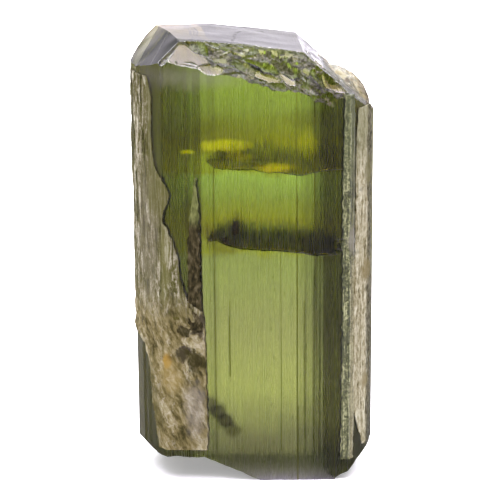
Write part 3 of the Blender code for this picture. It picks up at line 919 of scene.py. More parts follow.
def make_prism():
    """The whole prism, extruded from its outline and then given its growth ridges."""
    outline = []
    walked = 0.0
    for index, entry in enumerate(SECTION):
        length = (CORNERS[index + 1] - CORNERS[index]).length
        count = max(2, round(length / entry[4]))
        outline += [(index, step / count, walked + length * step / count) for step in range(count)]
        walked += length
    bpy.ops.object.select_all(action="DESELECT")
    bpy.ops.mesh.primitive_circle_add(vertices=len(outline), radius=1.0, fill_type="NGON")
    prism = named("green_crystal")
    number = prism.data.attributes.new("outline_point", "FLOAT", "POINT")
    number.data.foreach_set("value", [float(step) for step in range(len(outline))])
    bpy.ops.object.mode_set(mode="EDIT")
    bpy.ops.mesh.select_all(action="SELECT")
    for _ in range(PRISM_LEVELS):
        bpy.ops.mesh.extrude_region_move(TRANSFORM_OT_translate={"value": (0.0, 0.0, 1.0)})
    bpy.ops.object.mode_set(mode="OBJECT")
    numbers = [0.0] * len(prism.data.vertices)
    prism.data.attributes["outline_point"].data.foreach_get("value", numbers)
    for vertex, number in zip(prism.data.vertices, numbers):
        index, along, distance = outline[round(number)]
        z = PRISM_TOP * vertex.co.z / PRISM_LEVELS
        point = face_point(index, along)
        relief = ridge_depth(index, along) + fine_relief(distance, z)
        if index == 0:
            relief += step_relief(point.x, z)
        point += face_outward(index) * relief
        vertex.co = place(lean(point.x, z), point.y, z)
    prism.data.attributes.remove(prism.data.attributes["outline_point"])
    return prism


def scoop_edge(prism):
    """Takes small shells out of the right front edge."""
    for centre, radii in EDGE_SCOOPS:
        scoop = add_ball("scoop", 4)
        for vertex in scoop.data.vertices:
            reach = 1.0 + 0.12 * noise.noise(vertex.co * 2.0 + Vector(centre))
            vertex.co = ball_point(centre, radii, vertex.co, reach)
        cut(prism, scoop)


def table_value(rows, place_along, column=1):
    """The value of one column of a table of rows, straight between them."""
    if place_along <= rows[0][0]:
        return rows[0][column]
    for low, high in zip(rows, rows[1:]):
        if place_along <= high[0]:
            share = (place_along - low[0]) / (high[0] - low[0])
            return low[column] + (high[column] - low[column]) * share
    return rows[-1][column]


def crack_floor(crack, x, y):
    """The height of a crack's lower side."""
    into = y - CRACK_FRONT
    wave = 0.16 * noise.noise(Vector((x * 0.55, y * 0.55, crack.seed)))
    jag = 0.035 * noise.noise(Vector((x * 3.2, y * 2.0, crack.seed + 5.0)))
    return table_value(crack.trace, x) + crack.rise * into + wave * min(1.0, into / 1.5) + jag


def crack_point(crack, x, y, z):
    """A point of a crack in metres, which leans with the prism's side."""
    return place(lean(x, crack.trace[0][1]), y, z)


def open_crack(prism, crack):
    """Opens a thin crack that runs in from the front face."""
    left, right = crack.trace[0][0], crack.trace[-1][0]
    blade = add_grid("crack_blade", CRACK_GRID)

    def spot(across, up):
        ragged = noise.noise(Vector((across * 5.0, crack.seed, 0.0)))
        depth = crack.reach * (1.0 - abs(2.0 * across - 1.0) ** 4) + 0.8 * ragged
        y = CRACK_FRONT - CRACK_OVERHANG + (max(CRACK_LEAST_REACH, depth) + CRACK_OVERHANG) * up
        return left + (right - left) * across, y

    def lower(across, up):
        x, y = spot(across, up)
        return crack_point(crack, x, y, crack_floor(crack, x, y))

    def upper(across, up):
        x, y = spot(across, up)
        gap = crack.gap * (1.0 - 0.8 * up) * max(0.25, 1.0 - abs(2.0 * across - 1.0) ** 6)
        gap *= 1.0 + 0.6 * noise.noise(Vector((x * 1.3, crack.seed, 3.0)))
        return crack_point(crack, x, y, crack_floor(crack, x, y) + gap)

    thicken(blade, lower, upper)
    cut(prism, blade)


def stained_sheet(name, crack):
    """The stained wall of a crack, a thin sheet just above it."""
    left = crack.trace[0][0]
    sheet = add_grid(name, SHEET_GRID)

    def sheet_point(across, up, lift):
        x = left + (SHEET_RIGHT - left) * across
        ragged = 0.5 * noise.noise(Vector((across * 7.0, crack.seed, 4.0)))
        reach = max(SHEET_LEAST_REACH, (crack.reach + ragged) * (1.0 - abs(2.0 * across - 1.0) ** 7))
        y = CRACK_FRONT + SHEET_SETBACK + SHEET_DRAW_BACK * max(0.0, x - SHEET_CORNER) + reach * up
        crease = 0.05 * noise.noise(Vector((x * 2.0, y * 1.2, crack.seed + 8.0)))
        level = crack_floor(crack, x, y) + crack.gap + SHEET_LIFT + crease * min(1.0, (y - CRACK_FRONT) / 0.8)
        return crack_point(crack, x, y, level + lift)

    def lower(across, up):
        return sheet_point(across, up, 0.0)

    def upper(across, up):
        return sheet_point(across, up, SHEET_THICKNESS)

    thicken(sheet, lower, upper)
    return sheet


def band_spot(band, across, up, ledge=0.0):
    """A point of a band of crust: its height, distance round, distance from the band's border and place."""
    low, high = band.rows[0][0] + ledge, band.rows[-1][0] - ledge
    z = low + (high - low) * up
    fray = 0.05 * noise.noise(Vector((z * 7.0, 3.0, band.corner)))
    left_wave = 0.10 * noise.noise(Vector((z * 2.2, 0.0, band.corner)))
    right_wave = 0.10 * noise.noise(Vector((z * 2.6, 7.0, band.corner)))
    left = table_value(band.rows, z, 1) + left_wave + fray + ledge
    right = table_value(band.rows, z, 2) + right_wave - fray - ledge
    distance = left + (right - left) * across
    edge = min(across * (right - left), (1.0 - across) * (right - left), z - low, high - z)
    return z, distance, edge, face_point(*round_section(band.corner, distance))


def moved_out(point, z, reach):
    """A point of the prism's side pushed out by so much."""
    point = point.normalized() * (point.length + reach)
    return place(lean(point.x, z), point.y, z)


def cut_bed(prism, band):
    """Cuts the bed that a piece of crust lies in."""
    bed = add_grid("crust_bed", band.bed_grid)

    def outer(across, up):
        z, _, _, point = band_spot(band, across, up, BED_LEDGE)
        return moved_out(point, z, BED_CUT)

    def inner(across, up):
        z, _, edge, point = band_spot(band, across, up, BED_LEDGE)
        return moved_out(point, z, -BED_DEPTH - band.inset * smooth_step(edge / BED_SLOPE))

    thicken(bed, outer, inner)
    cut(prism, bed)


def band_block(name, band, relief):
    """A piece of crust: a block let into the prism's side whose outer face follows a relief function."""
    block = add_grid(name, band.grid)
    reliefs, distances = [], []

    def outer(across, up):
        z, distance, edge, point = band_spot(band, across, up)
        rim = 1.0 - smooth_step(edge / RIM_REACH)
        bed = BED_DEPTH + band.inset * smooth_step((edge - BED_LEDGE) / BED_SLOPE)
        reliefs.append(relief(lean(point.x, z), distance, z))
        distances.append(distance)
        reach = max(reliefs[-1] * (1.0 - RIM_FADE * rim) + RIM_LAP * rim, LEAST_CRUST - bed)
        return moved_out(point, z, reach)

    def inner(across, up):
        z, distance, edge, point = band_spot(band, across, up)
        reliefs.append(0.1)
        distances.append(distance)
        sink = (band.inset + MIDDLE_SINK) * smooth_step(edge / BED_SLOPE)
        return moved_out(point, z, -BED_DEPTH - CRUST_SINK - sink)

    thicken(block, outer, inner)
    for mark_name, values in (("relief", reliefs), ("distance", distances)):
        block.data.attributes.new(mark_name, "FLOAT", "POINT").data.foreach_set("value", values)
    return block


def fibrous(distance, z):
    """Relief of the fibrous crust: upright strands with ledges between them."""
    sway = 0.35 * noise.noise(Vector((z * 0.35, 2.0, 0.0)))
    strand = noise.noise(Vector(((distance + sway) * 2.4, z * 0.22, 3.0)))
    thread = noise.noise(Vector(((distance + sway) * 7.0, z * 0.55, 6.0)))
    grain = noise.noise(Vector((distance * 9.0, z * 4.0, 2.0)))
    return 0.10 * strand + 0.08 * thread + 0.025 * grain


def lumpy(distance, z):
    """Relief of the lumpy crust: rounded lumps that run down to the right, with small hollows between."""
    along = 0.55 * distance - 0.84 * z
    across = 0.84 * distance + 0.55 * z
    spot = Vector((across * 1.5, along * 0.75, 5.0))
    lump = noise.fractal(spot, 0.7, 2.1, 4)
    hollow = max(0.0, noise.noise(spot * 1.9 + Vector((4.0, 8.0, 2.0))) - 0.22)
    grain = noise.noise(Vector((distance * 6.0, z * 5.0, 1.0)))
    return 0.15 * lump - 0.35 * hollow + 0.03 * grain


def left_relief(x, distance, z):
    """Relief of the left crust: fibrous at its top, lumpy in its lower patch, with its dark hollows."""
    lower = 1.0 - smooth_step((z - 11.5 - 0.5 * distance) / 2.5)
    pits = sum(mound(x, z, pit) for pit in CRUST_PITS)
    return 0.02 + (1.0 - lower) * fibrous(distance, z) + lower * (lumpy(distance, z) + 0.05) - pits * lower


def tongue_relief(x, distance, z):
    """Relief of the crust in the groove."""
    return 0.02 + 0.6 * lumpy(distance * 2.0, z) + 0.5 * fibrous(distance, z)


def right_relief(x, distance, z):
    """Relief of the right crust."""
    return 0.07 + 0.35 * lumpy(distance * 1.4, z * 1.4) + 0.7 * fibrous(distance, z)


def skin_relief(x, distance, z):
    """Relief of the chipped skin over the right front edge: upright threads, broken by small sharp chips."""
    spot = Vector((distance * 3.2, 1.5, z * 2.2))
    centre = noise.voronoi(spot)[1][0]
    tilt = noise.noise(centre * 4.1 + Vector((2.0, 5.0, 1.0)))
    chipped = smooth_step((0.30 - distance) / 0.25) * max(0.0, noise.noise(centre * 2.3) + 0.15)
    groove = math.exp(-(((distance - 0.22) / 0.04) ** 2))
    return 0.02 + 0.22 * fibrous(distance * 2.0, z) - chipped * (0.12 + 0.16 * tilt) - 0.05 * groove


def lump(name, centre, radii, roughness, seed):
    """A small ragged body inside the crystal."""
    body = add_ball(name, 5)
    for vertex in body.data.vertices:
        way = vertex.co.normalized()
        ragged = noise.fractal(way * 1.7 + Vector((seed, 0.0, 0.0)), 0.6, 2.0, 4)
        vertex.co = ball_point(centre, radii, way, 1.0 + roughness * ragged)
    return body


class Nodes:
    """Short ways to add nodes to a node tree."""

    def __init__(self, tree):
        self.tree = tree

    def add(self, kind, inputs=None, **settings):
        """A new node with its settings, each input linked from a socket or set to a value."""
        node = self.tree.nodes.new(kind)
        for name, value in settings.items():
            setattr(node, name, value)
        for name, value in (inputs or {}).items():
            if isinstance(value, bpy.types.NodeSocket):
                self.tree.links.new(value, node.inputs[name])
            else:
                node.inputs[name].default_value = value
        return node

    def calculate(self, operation, first, second=0.0, clamp=False):
        """The outcome of one sum."""
        node = self.add("ShaderNodeMath", {0: first, 1: second}, operation=operation, use_clamp=clamp)
        return node.outputs[0]

    def times(self, first, *others):
        """The product of two or more values."""
        for other in others:
            first = self.calculate("MULTIPLY", first, other)
        return first

    def plus(self, first, second, clamp=False):
        """The sum of two values."""
        return self.calculate("ADD", first, second, clamp)

    def minus(self, first, second):
        """The difference of two values."""
        return self.calculate("SUBTRACT", first, second)

    def mixed(self, *parts):
        """The sum of values, each with its share."""
        total = None
        for value, share in parts:
            part = self.times(value, share)
            total = part if total is None else self.plus(total, part)
        return total

    def vector(self, operation, first, second=(0.0, 0.0, 0.0)):
        """The outcome of one vector sum."""
        node = self.add("ShaderNodeVectorMath", {0: first, 1: second}, operation=operation)
        return node.outputs["Value" if operation == "LENGTH" else "Vector"]

    def joined(self, **parts):
        """A vector made of its parts."""
        return self.add("ShaderNodeCombineXYZ", parts).outputs[0]

    def axes(self, position):
        """The three parts of a vector."""
        return self.add("ShaderNodeSeparateXYZ", {"Vector": position}).outputs

    def millimetres(self):
        """The place on the piece in mm."""
        coordinates = self.add("ShaderNodeTexCoord").outputs["Object"]
        return self.add("ShaderNodeMapping", {"Vector": coordinates, "Scale": (1000.0,) * 3}).outputs[0]

    def scaled(self, position, scale, shift=(0.0, 0.0, 0.0)):
        """A position scaled and then shifted."""
        return self.add("ShaderNodeMapping", {"Vector": position, "Scale": scale, "Location": shift}).outputs[0]

    def turned(self, position, degrees):
        """A position turned in the plane of the front face."""
        turn = (0.0, math.radians(degrees), 0.0)
        return self.add("ShaderNodeMapping", {"Vector": position, "Rotation": turn}).outputs[0]

    def cloud(self, position, scale, detail=3.0, roughness=0.55, shift=(0.0, 0.0, 0.0)):
        """Noise from 0 to 1 with its own scale along each axis."""
        spot = self.scaled(position, scale, shift)
        inputs = {"Vector": spot, "Scale": 1.0, "Detail": detail, "Roughness": roughness}
        return self.add("ShaderNodeTexNoise", inputs).outputs[0]

    def spread(self, value, low, high, new_low=0.0, new_high=1.0):
        """A value carried smoothly from one range to another."""
        inputs = {"Value": value, "From Min": low, "From Max": high, "To Min": new_low, "To Max": new_high}
        return self.add("ShaderNodeMapRange", inputs, interpolation_type="SMOOTHSTEP").outputs[0]

    def blend(self, share, first, second, mode="MIX"):
        """Two colours mixed by a share."""
        inputs = {0: share}
        for number, value in ((6, first), (7, second)):
            inputs[number] = value if isinstance(value, bpy.types.NodeSocket) else (*value, 1.0)
        return self.add("ShaderNodeMix", inputs, data_type="RGBA", blend_type=mode).outputs[2]

    def tint(self, mask, strength, colour, other):
        """A colour that goes over to another where a mask is, as far as the strength says."""
        return self.blend(self.times(mask, strength), colour, other)

    def ramp(self, value, stops):
        """A colour picked along a ramp of places and colours."""
        node = self.add("ShaderNodeValToRGB", {"Fac": value})
        elements = node.color_ramp.elements
        while len(elements) < len(stops):
            elements.new(0.5)
        for element, (spot, colour) in zip(elements, stops):
            element.position = spot
            element.color = (*colour, 1.0)
        return node.outputs[0]

    def mark(self, name):
        """A value that the piece's mesh carries."""
        return self.add("ShaderNodeAttribute", attribute_name=name).outputs["Fac"]

    def bump(self, strength, distance, height):
        """Fine relief for a shader's normal."""
        inputs = {"Strength": strength, "Distance": distance, "Height": height}
        return self.add("ShaderNodeBump", inputs).outputs[0]

    def group(self, group, inputs):
        """The only output of a node group placed in the tree."""
        return self.add("ShaderNodeGroup", inputs, node_tree=group).outputs[0]

    def patch(self, position, centre, radii, softness=0.4, raggedness=0.8):
        """The mask of one soft patch."""
        inputs = {"Position": position, "Centre": centre, "Radii": radii}
        inputs.update({"Softness": softness, "Raggedness": raggedness})
        return self.group(shared_group("soft patch", patch_group), inputs)

    def specks(self, position, spacing, size, share):
        """The mask of scattered specks."""
        inputs = {"Position": position, "Spacing": spacing, "Size": size, "Share": share}
        return self.group(shared_group("specks", speck_group), inputs)

    def close(self, shader):
        """Joins a shader to the material's output, which it gives back."""
        return self.add("ShaderNodeOutputMaterial", {"Surface": shader.outputs[0]})

    def close_opaque(self, colour, roughness, shine=MATRIX_SHINE, **others):
        """Ends a material in a shader that isn't clear."""
        inputs = {"Base Color": colour, "Roughness": roughness, "Specular IOR Level": shine}
        self.close(self.add("ShaderNodeBsdfPrincipled", {**inputs, **others}))


def new_material(name):
    """A material with nothing in it, and the means to add its nodes."""
    material = bpy.data.materials.new(name)
    material.use_nodes = True
    material.node_tree.nodes.clear()
    return material, Nodes(material.node_tree)


def shared_group(name, make):
    """A node group that is built once."""
    return bpy.data.node_groups.get(name) or make(name)


def new_group(name, vectors, values):
    """A node group with these vectors and values as its inputs and one mask as its output."""
    tree = bpy.data.node_groups.new(name, "ShaderNodeTree")
    for socket in vectors:
        tree.interface.new_socket(socket, in_out="INPUT", socket_type="NodeSocketVector")
    for socket in values:
        tree.interface.new_socket(socket, in_out="INPUT", socket_type="NodeSocketFloat")
    tree.interface.new_socket("Mask", in_out="OUTPUT", socket_type="NodeSocketFloat")
    nodes = Nodes(tree)
    return nodes, nodes.add("NodeGroupInput").outputs


def patch_group(name):
    """A soft round patch: one at its centre, none outside its radii, with a ragged edge."""
    n, given = new_group(name, ("Position", "Centre", "Radii"), ("Softness", "Raggedness"))
    away = n.vector("DIVIDE", n.vector("SUBTRACT", given["Position"], given["Centre"]), given["Radii"])
    rag = n.minus(n.cloud(given["Position"], (1.6, 1.6, 1.6), 5.0, 0.62), 0.5)
    reach = n.plus(n.vector("LENGTH", away), n.times(rag, given["Raggedness"]))
    mask = n.spread(reach, n.minus(1.0, given["Softness"]), n.plus(1.0, given["Softness"]), 1.0, 0.0)
    n.add("NodeGroupOutput", {"Mask": mask})
    return n.tree


def speck_group(name):
    """Scattered specks: each is one at its middle."""
    n, given = new_group(name, ("Position",), ("Spacing", "Size", "Share"))
    warp = n.times(n.cloud(given["Position"], (5.0, 5.0, 5.0), 2.0), 0.35)
    spot = n.vector("ADD", n.vector("DIVIDE", given["Position"], given["Spacing"]), warp)
    cells = n.add("ShaderNodeTexVoronoi", {"Vector": spot, "Scale": 1.0}).outputs
    near = n.spread(cells["Distance"], 0.0, given["Size"], 1.0, 0.0)
    parts = n.add("ShaderNodeSeparateColor", {"Color": cells["Color"]}).outputs
    picked = n.calculate("LESS_THAN", parts[0], given["Share"])
    n.add("NodeGroupOutput", {"Mask": n.times(near, picked)})
    return n.tree


def tan_crust():
    """The left crust: fibrous grey and olive strands above, cream and stained lumps below, dark hollows."""
    material, n = new_material("tan_crust")
    spot = n.millimetres()
    height = n.axes(spot)[2]
    sway = n.cloud(spot, (0.5, 0.5, 0.35), 2.0, 0.5, (0.0, 3.0, 0.0))
    wave = n.vector("ADD", spot, n.joined(X=sway, Y=sway))
    strands = n.cloud(wave, (2.4, 2.4, 0.16), 6.0, 0.62)
    threads = n.cloud(wave, (8.0, 8.0, 0.55), 4.0, 0.6, (3.0, 1.0, 0.0))
    grain = n.cloud(spot, (7.0, 7.0, 7.0), 6.0, 0.7)
    fibre = n.ramp(n.mixed((strands, 0.48), (threads, 0.36), (grain, 0.15)), FIBRE_COLOURS)

    slanting = n.turned(spot, LUMP_SLANT)
    blotch = n.cloud(slanting, (1.3, 1.0, 0.50), 5.0, 0.62, (9.0, 2.0, 0.0))
    flakes = n.cloud(slanting, (4.6, 2.0, 1.5), 5.0, 0.68, (2.0, 6.0, 0.0))
    mix = n.mixed((blotch, 0.5), (flakes, 0.5))
    even = (1.4, 1.4, 1.4)
    bends = n.joined(X=n.cloud(spot, even, 3.0), Z=n.cloud(spot, even, 3.0, 0.6, (7.0, 0.0, 3.0)))
    crooked = n.vector("ADD", n.scaled(slanting, (1.9, 1.0, 1.1)), n.scaled(bends, (2.2, 0.0, 2.2)))
    cells = n.add("ShaderNodeTexVoronoi", {"Vector": crooked, "Scale": 1.0}, feature="DISTANCE_TO_EDGE")
    vein = n.times(n.spread(cells.outputs["Distance"], 0.0, 0.10, 0.55, 0.0), n.spread(blotch, 0.45, 0.58))
    lumps = n.blend(vein, n.ramp(mix, LUMP_COLOURS), (0.48, 0.44, 0.38))

    colour = n.blend(n.spread(height, 9.5, 12.5, 1.0, 0.0), fibre, lumps)
    for centre, radii, strength, stain in TAN_STAINS:
        colour = n.tint(n.patch(spot, centre, radii, 0.45, 1.5), strength, colour, stain)
    crooked_spot = n.vector("ADD", spot, n.scaled(bends, (1.5, 0.0, 1.5), (-0.75, 0.0, -0.75)))
    for centre, radii, shade in TAN_HOLLOWS:
        pit = n.patch(crooked_spot, centre, radii, 0.25, 2.4)
        colour = n.blend(n.times(pit, n.spread(flakes, 0.45, 0.68, 1.0, 0.6)), colour, shade)
    hollow = n.spread(n.mark("relief"), -0.22, -0.06, 1.0, 0.0)
    colour = n.tint(hollow, 0.55, colour, (0.075, 0.064, 0.026))
    edge_line = n.times(n.spread(height, 16.0, 17.5), n.spread(n.mark("distance"), -1.9, -1.3))
    colour = n.tint(edge_line, 0.7, colour, (0.115, 0.110, 0.040))
    colour = n.blend(1.0, colour, TAN_TINT, "MULTIPLY")
    n.close_opaque(colour, 0.72, Normal=n.bump(1.0, 0.00012, mix))
    return material


def dark_crust():
    """The crust in the groove: dark brown below its pale tip."""
    material, n = new_material("dark_crust")
    spot = n.millimetres()
    grain = n.cloud(spot, (5.0, 5.0, 2.0), 6.0, 0.7)
    tip = n.spread(n.axes(spot)[2], *TONGUE_TIP)
    colour = n.blend(tip, n.ramp(grain, TONGUE_COLOURS), n.ramp(grain, TONGUE_TIP_COLOURS))
    n.close_opaque(colour, 0.8)
    return material


def cream_crust():
    """The right crust: cream with brown pits and grey streaks."""
    material, n = new_material("cream_crust")
    spot = n.millimetres()
    streaks = n.cloud(spot, (5.0, 5.0, 0.4), 5.0, 0.6)
    grain = n.cloud(spot, (5.0, 5.0, 2.5), 6.0, 0.7, (2.0, 5.0, 0.0))
    colour = n.ramp(n.mixed((streaks, 0.5), (grain, 0.5)), CREAM_COLOURS)
    colour = n.tint(n.spread(n.axes(spot)[2], 18.5, 22.0), 0.6, colour, (0.20, 0.20, 0.11))
    hollow = n.spread(n.mark("relief"), -0.12, 0.01, 1.0, 0.0)
    colour = n.tint(hollow, 0.6, colour, (0.13, 0.11, 0.05))
    outer_edge = n.spread(n.mark("distance"), 1.78, 2.20)
    colour = n.tint(outer_edge, 0.95, colour, n.ramp(grain, CREAM_EDGE_COLOURS))
    for centre, radii, stain in CREAM_STAINS:
        colour = n.tint(n.patch(spot, centre, radii, 0.4, 1.4), 0.75, colour, stain)
    colour = n.tint(n.specks(spot, 1.1, 0.28, 0.25), 0.8, colour, (0.09, 0.08, 0.04))
    colour = n.blend(1.0, colour, CREAM_TINT, "MULTIPLY")
    n.close_opaque(colour, 0.75, Normal=n.bump(0.7, 0.00006, grain))
    return material


def pale_skin():
    """The skin over the right front edge: a pale chipped strip, then an olive one that is beige low down."""
    material, n = new_material("pale_skin")
    spot = n.millimetres()
    height = n.axes(spot)[2]
    streaks = n.cloud(spot, (9.0, 9.0, 0.5), 5.0, 0.6)
    grain = n.cloud(spot, (8.0, 8.0, 6.0), 6.0, 0.7)
    mix = n.mixed((streaks, 0.45), (grain, 0.55))
    strip, olive, beige = (n.ramp(mix, colours) for colours in (STRIP_COLOURS, OLIVE_COLOURS, BEIGE_COLOURS))
    inner = n.blend(n.spread(height, 13.2, 14.4), beige, olive)
    colour = n.blend(n.spread(n.mark("distance"), 0.06, 0.18), strip, inner)
    colour = n.tint(n.spread(height, 17.0, 23.5), 0.45, colour, (0.10, 0.13, 0.045))
    colour = n.tint(n.patch(spot, *LILAC_PATCH), 0.8, colour, (0.28, 0.26, 0.27))
    groove = n.spread(n.mark("relief"), -0.07, -0.01, 1.0, 0.0)
    colour = n.tint(groove, 0.6, colour, (0.065, 0.07, 0.028))
    colour = n.blend(1.0, colour, SKIN_TINT, "MULTIPLY")
    n.close_opaque(colour, 0.45, 0.3, Normal=n.bump(0.7, 0.00004, mix))
    return material


def crack_stain(name, colours, flashes, cover):
    """The stain on a crack's wall: olive and brown clouds thinning out inwards, with yellow flashes of painted
    reflection.
    """
    material, n = new_material(name)
    spot = n.millimetres()
    glow = 0.0
    # Painted reflection: the yellow flashes, opaque where they are
    for centre, radii in flashes:
        glow = n.plus(glow, n.patch(spot, centre, radii, 0.5, 1.7), True)
    clouds = n.cloud(spot, (1.1, 0.7, 1.0), 5.0, 0.6)
    colour = n.blend(glow, n.ramp(clouds, colours), (0.72, 0.76, 0.01))
    grain = n.cloud(spot, (4.0, 4.0, 4.0), 6.0, 0.7)
    thin = n.spread(n.axes(spot)[1], -1.5, 3.0, 1.0, 0.0)
    alpha = n.times(thin, n.spread(grain, 0.30, 0.60, 0.75, 1.0), cover)
    n.close_opaque(colour, 0.6, Alpha=n.calculate("MAXIMUM", alpha, n.times(glow, 0.6)))
    return material


def dark_inclusion():
    """A dark inclusion seen through the crystal, paler in patches."""
    material, n = new_material("dark_inclusion")
    grain = n.cloud(n.millimetres(), (3.0, 3.0, 3.0), 5.0, 0.65)
    n.close_opaque(n.blend(n.spread(grain, 0.35, 0.7), INCLUSION_DARK, INCLUSION_PALE), 0.8, 0.5)
    return material


def crystal_sides(n, spot, axes, streaks, fine):
    """The sides' colour with painted light and shade: zones, edges, clouds, haze, flashes and pits. Gives it
    with three of its masks.
    """
    drift = n.minus(n.cloud(spot, (0.35, 0.35, 0.5), 3.0), 0.5)
    level = n.plus(axes[2], n.times(drift, 1.6))
    zone_and_reflection = n.ramp(n.calculate("DIVIDE", level, ZONE_HEIGHT), ZONE_AND_REFLECTION_BANDS)
    shade = n.times(n.spread(streaks, 0.25, 0.75, 0.82, 1.0), n.spread(fine, 0.35, 0.65, 0.80, 1.0))
    # Painted shade: the front darker towards its right and left sides
    right_dim = n.times(n.spread(axes[0], 2.6, 4.7), n.spread(axes[2], 4.0, 12.0, 0.64, 0.79))
    shade = n.times(shade, n.times(n.minus(1.0, right_dim), n.spread(axes[0], -4.2, -1.9, 0.46, 1.0)))
    grey = n.add("ShaderNodeCombineColor", {channel: shade for channel in range(3)}).outputs[0]
    side = n.blend(1.0, zone_and_reflection, grey, "MULTIPLY")
    for centre, radii, tint, softness in CLOUDS:
        side = n.blend(n.patch(spot, centre, radii, softness, 1.1), side, tint, "MULTIPLY")
    # Painted sheen: the haze under the top made lavender and lighter
    haze = n.patch(spot, *HAZE, 0.95, 1.6)
    side = n.tint(haze, 0.6, side, (0.60, 0.54, 0.86))
    # Yellow flashes: painted reflection of light off the cracks
    glow = 0.0
    for centre, radii, strength in FLASHES:
        flash = n.times(n.patch(spot, centre, radii, 0.45, 1.3), strength)
        glow = n.plus(flash, glow, True)
        side = n.blend(flash, side, (1.0, 0.95, 0.02))
    pits = n.specks(n.scaled(spot, (1.0, 1.0, 0.6)), 0.62, 0.17, 0.55)
    side = n.tint(pits, 0.75, side, (0.08, 0.08, 0.03))
    small = n.specks(n.scaled(spot, (1.0, 1.0, 0.55)), 0.33, 0.09, 0.5)
    side = n.tint(small, 0.6, side, (0.10, 0.11, 0.03))
    from_corner = n.calculate("ABSOLUTE", n.minus(axes[0], LEFT_EDGE_X))
    corner_line = n.times(n.spread(from_corner, 0.05, 0.16, 1.0, 0.0), n.spread(axes[2], 17.0, 18.5))
    return n.tint(corner_line, 0.8, side, (0.10, 0.09, 0.03)), haze, glow, pits


def crystal_breaks(n, spot, axes, marks, grit):
    """The breaks' colour: splinters, polished chips, the rim, crumbly parts and the banded corner facet, with
    painted light and shade.
    """
    leafy = n.ramp(grit, LEAFY_COLOURS)
    splintered = n.blend(1.0, n.ramp(grit, SPLINTER_COLOURS), n.ramp(marks["shard"], SHARD_SHADES), "MULTIPLY")
    tinge = n.cloud(spot, (1.3, 1.3, 1.3), 4.0, 0.6, (4.0, 1.0, 6.0))
    broken = n.blend(n.spread(tinge, 0.40, 0.47), leafy, splintered)
    # Painted glint: the brightest shards pale lilac
    broken = n.blend(n.spread(marks["shard"], 0.80, 0.84), broken, (0.92, 0.64, 0.95))
    broken = n.blend(n.spread(marks["polish"], 0.3, 0.7), broken, leafy)
    # Painted reflection: the polished chips and the glossy break pale lilac
    broken = n.blend(n.spread(marks["polish"], 0.95, 0.99), broken, (1.0, 0.56, 1.0))
    broken = n.blend(marks["rim"], broken, n.ramp(grit, RIM_COLOURS))
    vein = n.cloud(n.turned(spot, CRUMBLY_SLANT), (1.2, 2.0, 6.5), 4.0, 0.6)
    broken = n.blend(marks["crumbly"], broken, n.ramp(vein, CRUMBLY_COLOURS))
    bent = n.times(n.cloud(spot, (1.4, 1.4, 1.4), 3.0, 0.6, (0.4, 0.0, 0.0)), 0.05)
    across = n.minus(n.times(axes[0], 0.323), n.times(axes[1], 0.082))
    facet = n.ramp(n.plus(n.plus(across, bent), 2.375), FACET_BANDS)
    broken = n.blend(marks["dark_facet"], broken, facet)
    return n.blend(marks["seam"], broken, (0.05, 0.045, 0.015)), facet


def crystal_gloss(n, spot, axes, marks, grit, facet):
    """How much the breaks mirror: most on polished chips, least in seams, on the rim and on dark bands."""
    silk = n.cloud(spot, (0.7, 1.6, 1.0), 4.0, 0.6, (3.0, 0.0, 2.0))
    silk = n.times(n.spread(silk, 0.40, 0.60, 0.78, 1.05), n.spread(axes[0], -4.5, 0.5, 0.72, 1.0))
    glossy = n.times(n.plus(n.times(marks["polish"], 0.55), 0.45), silk)
    sheen = n.cloud(spot, (0.32, 1.1, 0.5), 5.0, 0.6, (6.0, 2.0, 0.0))
    glossy = n.times(glossy, n.spread(sheen, 0.40, 0.52, 0.74, 1.0))
    gate = n.times(n.spread(grit, 0.42, 0.56, 0.15, 1.0), n.spread(marks["shard"], 0.15, 0.6, 0.35, 1.0))
    gate = n.plus(gate, n.spread(axes[0], 1.5, 4.5, 0.0, 0.30), True)
    smooth = n.spread(marks["polish"], 0.94, 0.98)
    gate = n.plus(n.times(gate, n.minus(1.0, smooth)), n.times(smooth, 0.95))
    gate = n.calculate("MAXIMUM", gate, n.spread(marks["bevel"], 0.0, 1.0, 1.0, 0.0))
    glossy = n.times(glossy, gate)
    dull = n.times(marks["dark_facet"], n.spread(facet, 0.05, 0.7, 1.0, 0.2))
    for lost, share in ((marks["seam"], 0.9), (marks["crumbly"], 0.40), (dull, 0.92), (marks["rim"], 0.97)):
        glossy = n.times(glossy, n.minus(1.0, n.times(lost, share)))
    return n.times(marks["fresh_break"], glossy, n.spread(axes[2], 8.0, 12.0))


def crystal_glow(n, axes, marks, grit, light_haze, flashes):
    """Painted light: a faint glow, as emission, of the haze, of the splintered right half of the bevel and of
    the yellow flashes.
    """
    painted_glow = n.blend(light_haze, (0.0, 0.0, 0.0), (0.078, 0.066, 0.095))
    painted_glow = n.blend(marks["fresh_break"], painted_glow, (0.0, 0.0, 0.0))
    chipped = n.times(
        n.spread(marks["bevel"], 0.0, 1.0),
        n.spread(axes[0], 0.0, 3.5),
        n.spread(grit, 0.40, 0.62, 0.1, 1.0),
        n.spread(marks["seam"], 0.0, 1.0, 1.0, 0.2),
    )
    painted_glow = n.blend(chipped, painted_glow, (0.102, 0.094, 0.100))
    return n.blend(flashes, painted_glow, (0.18, 0.14, 0.004))


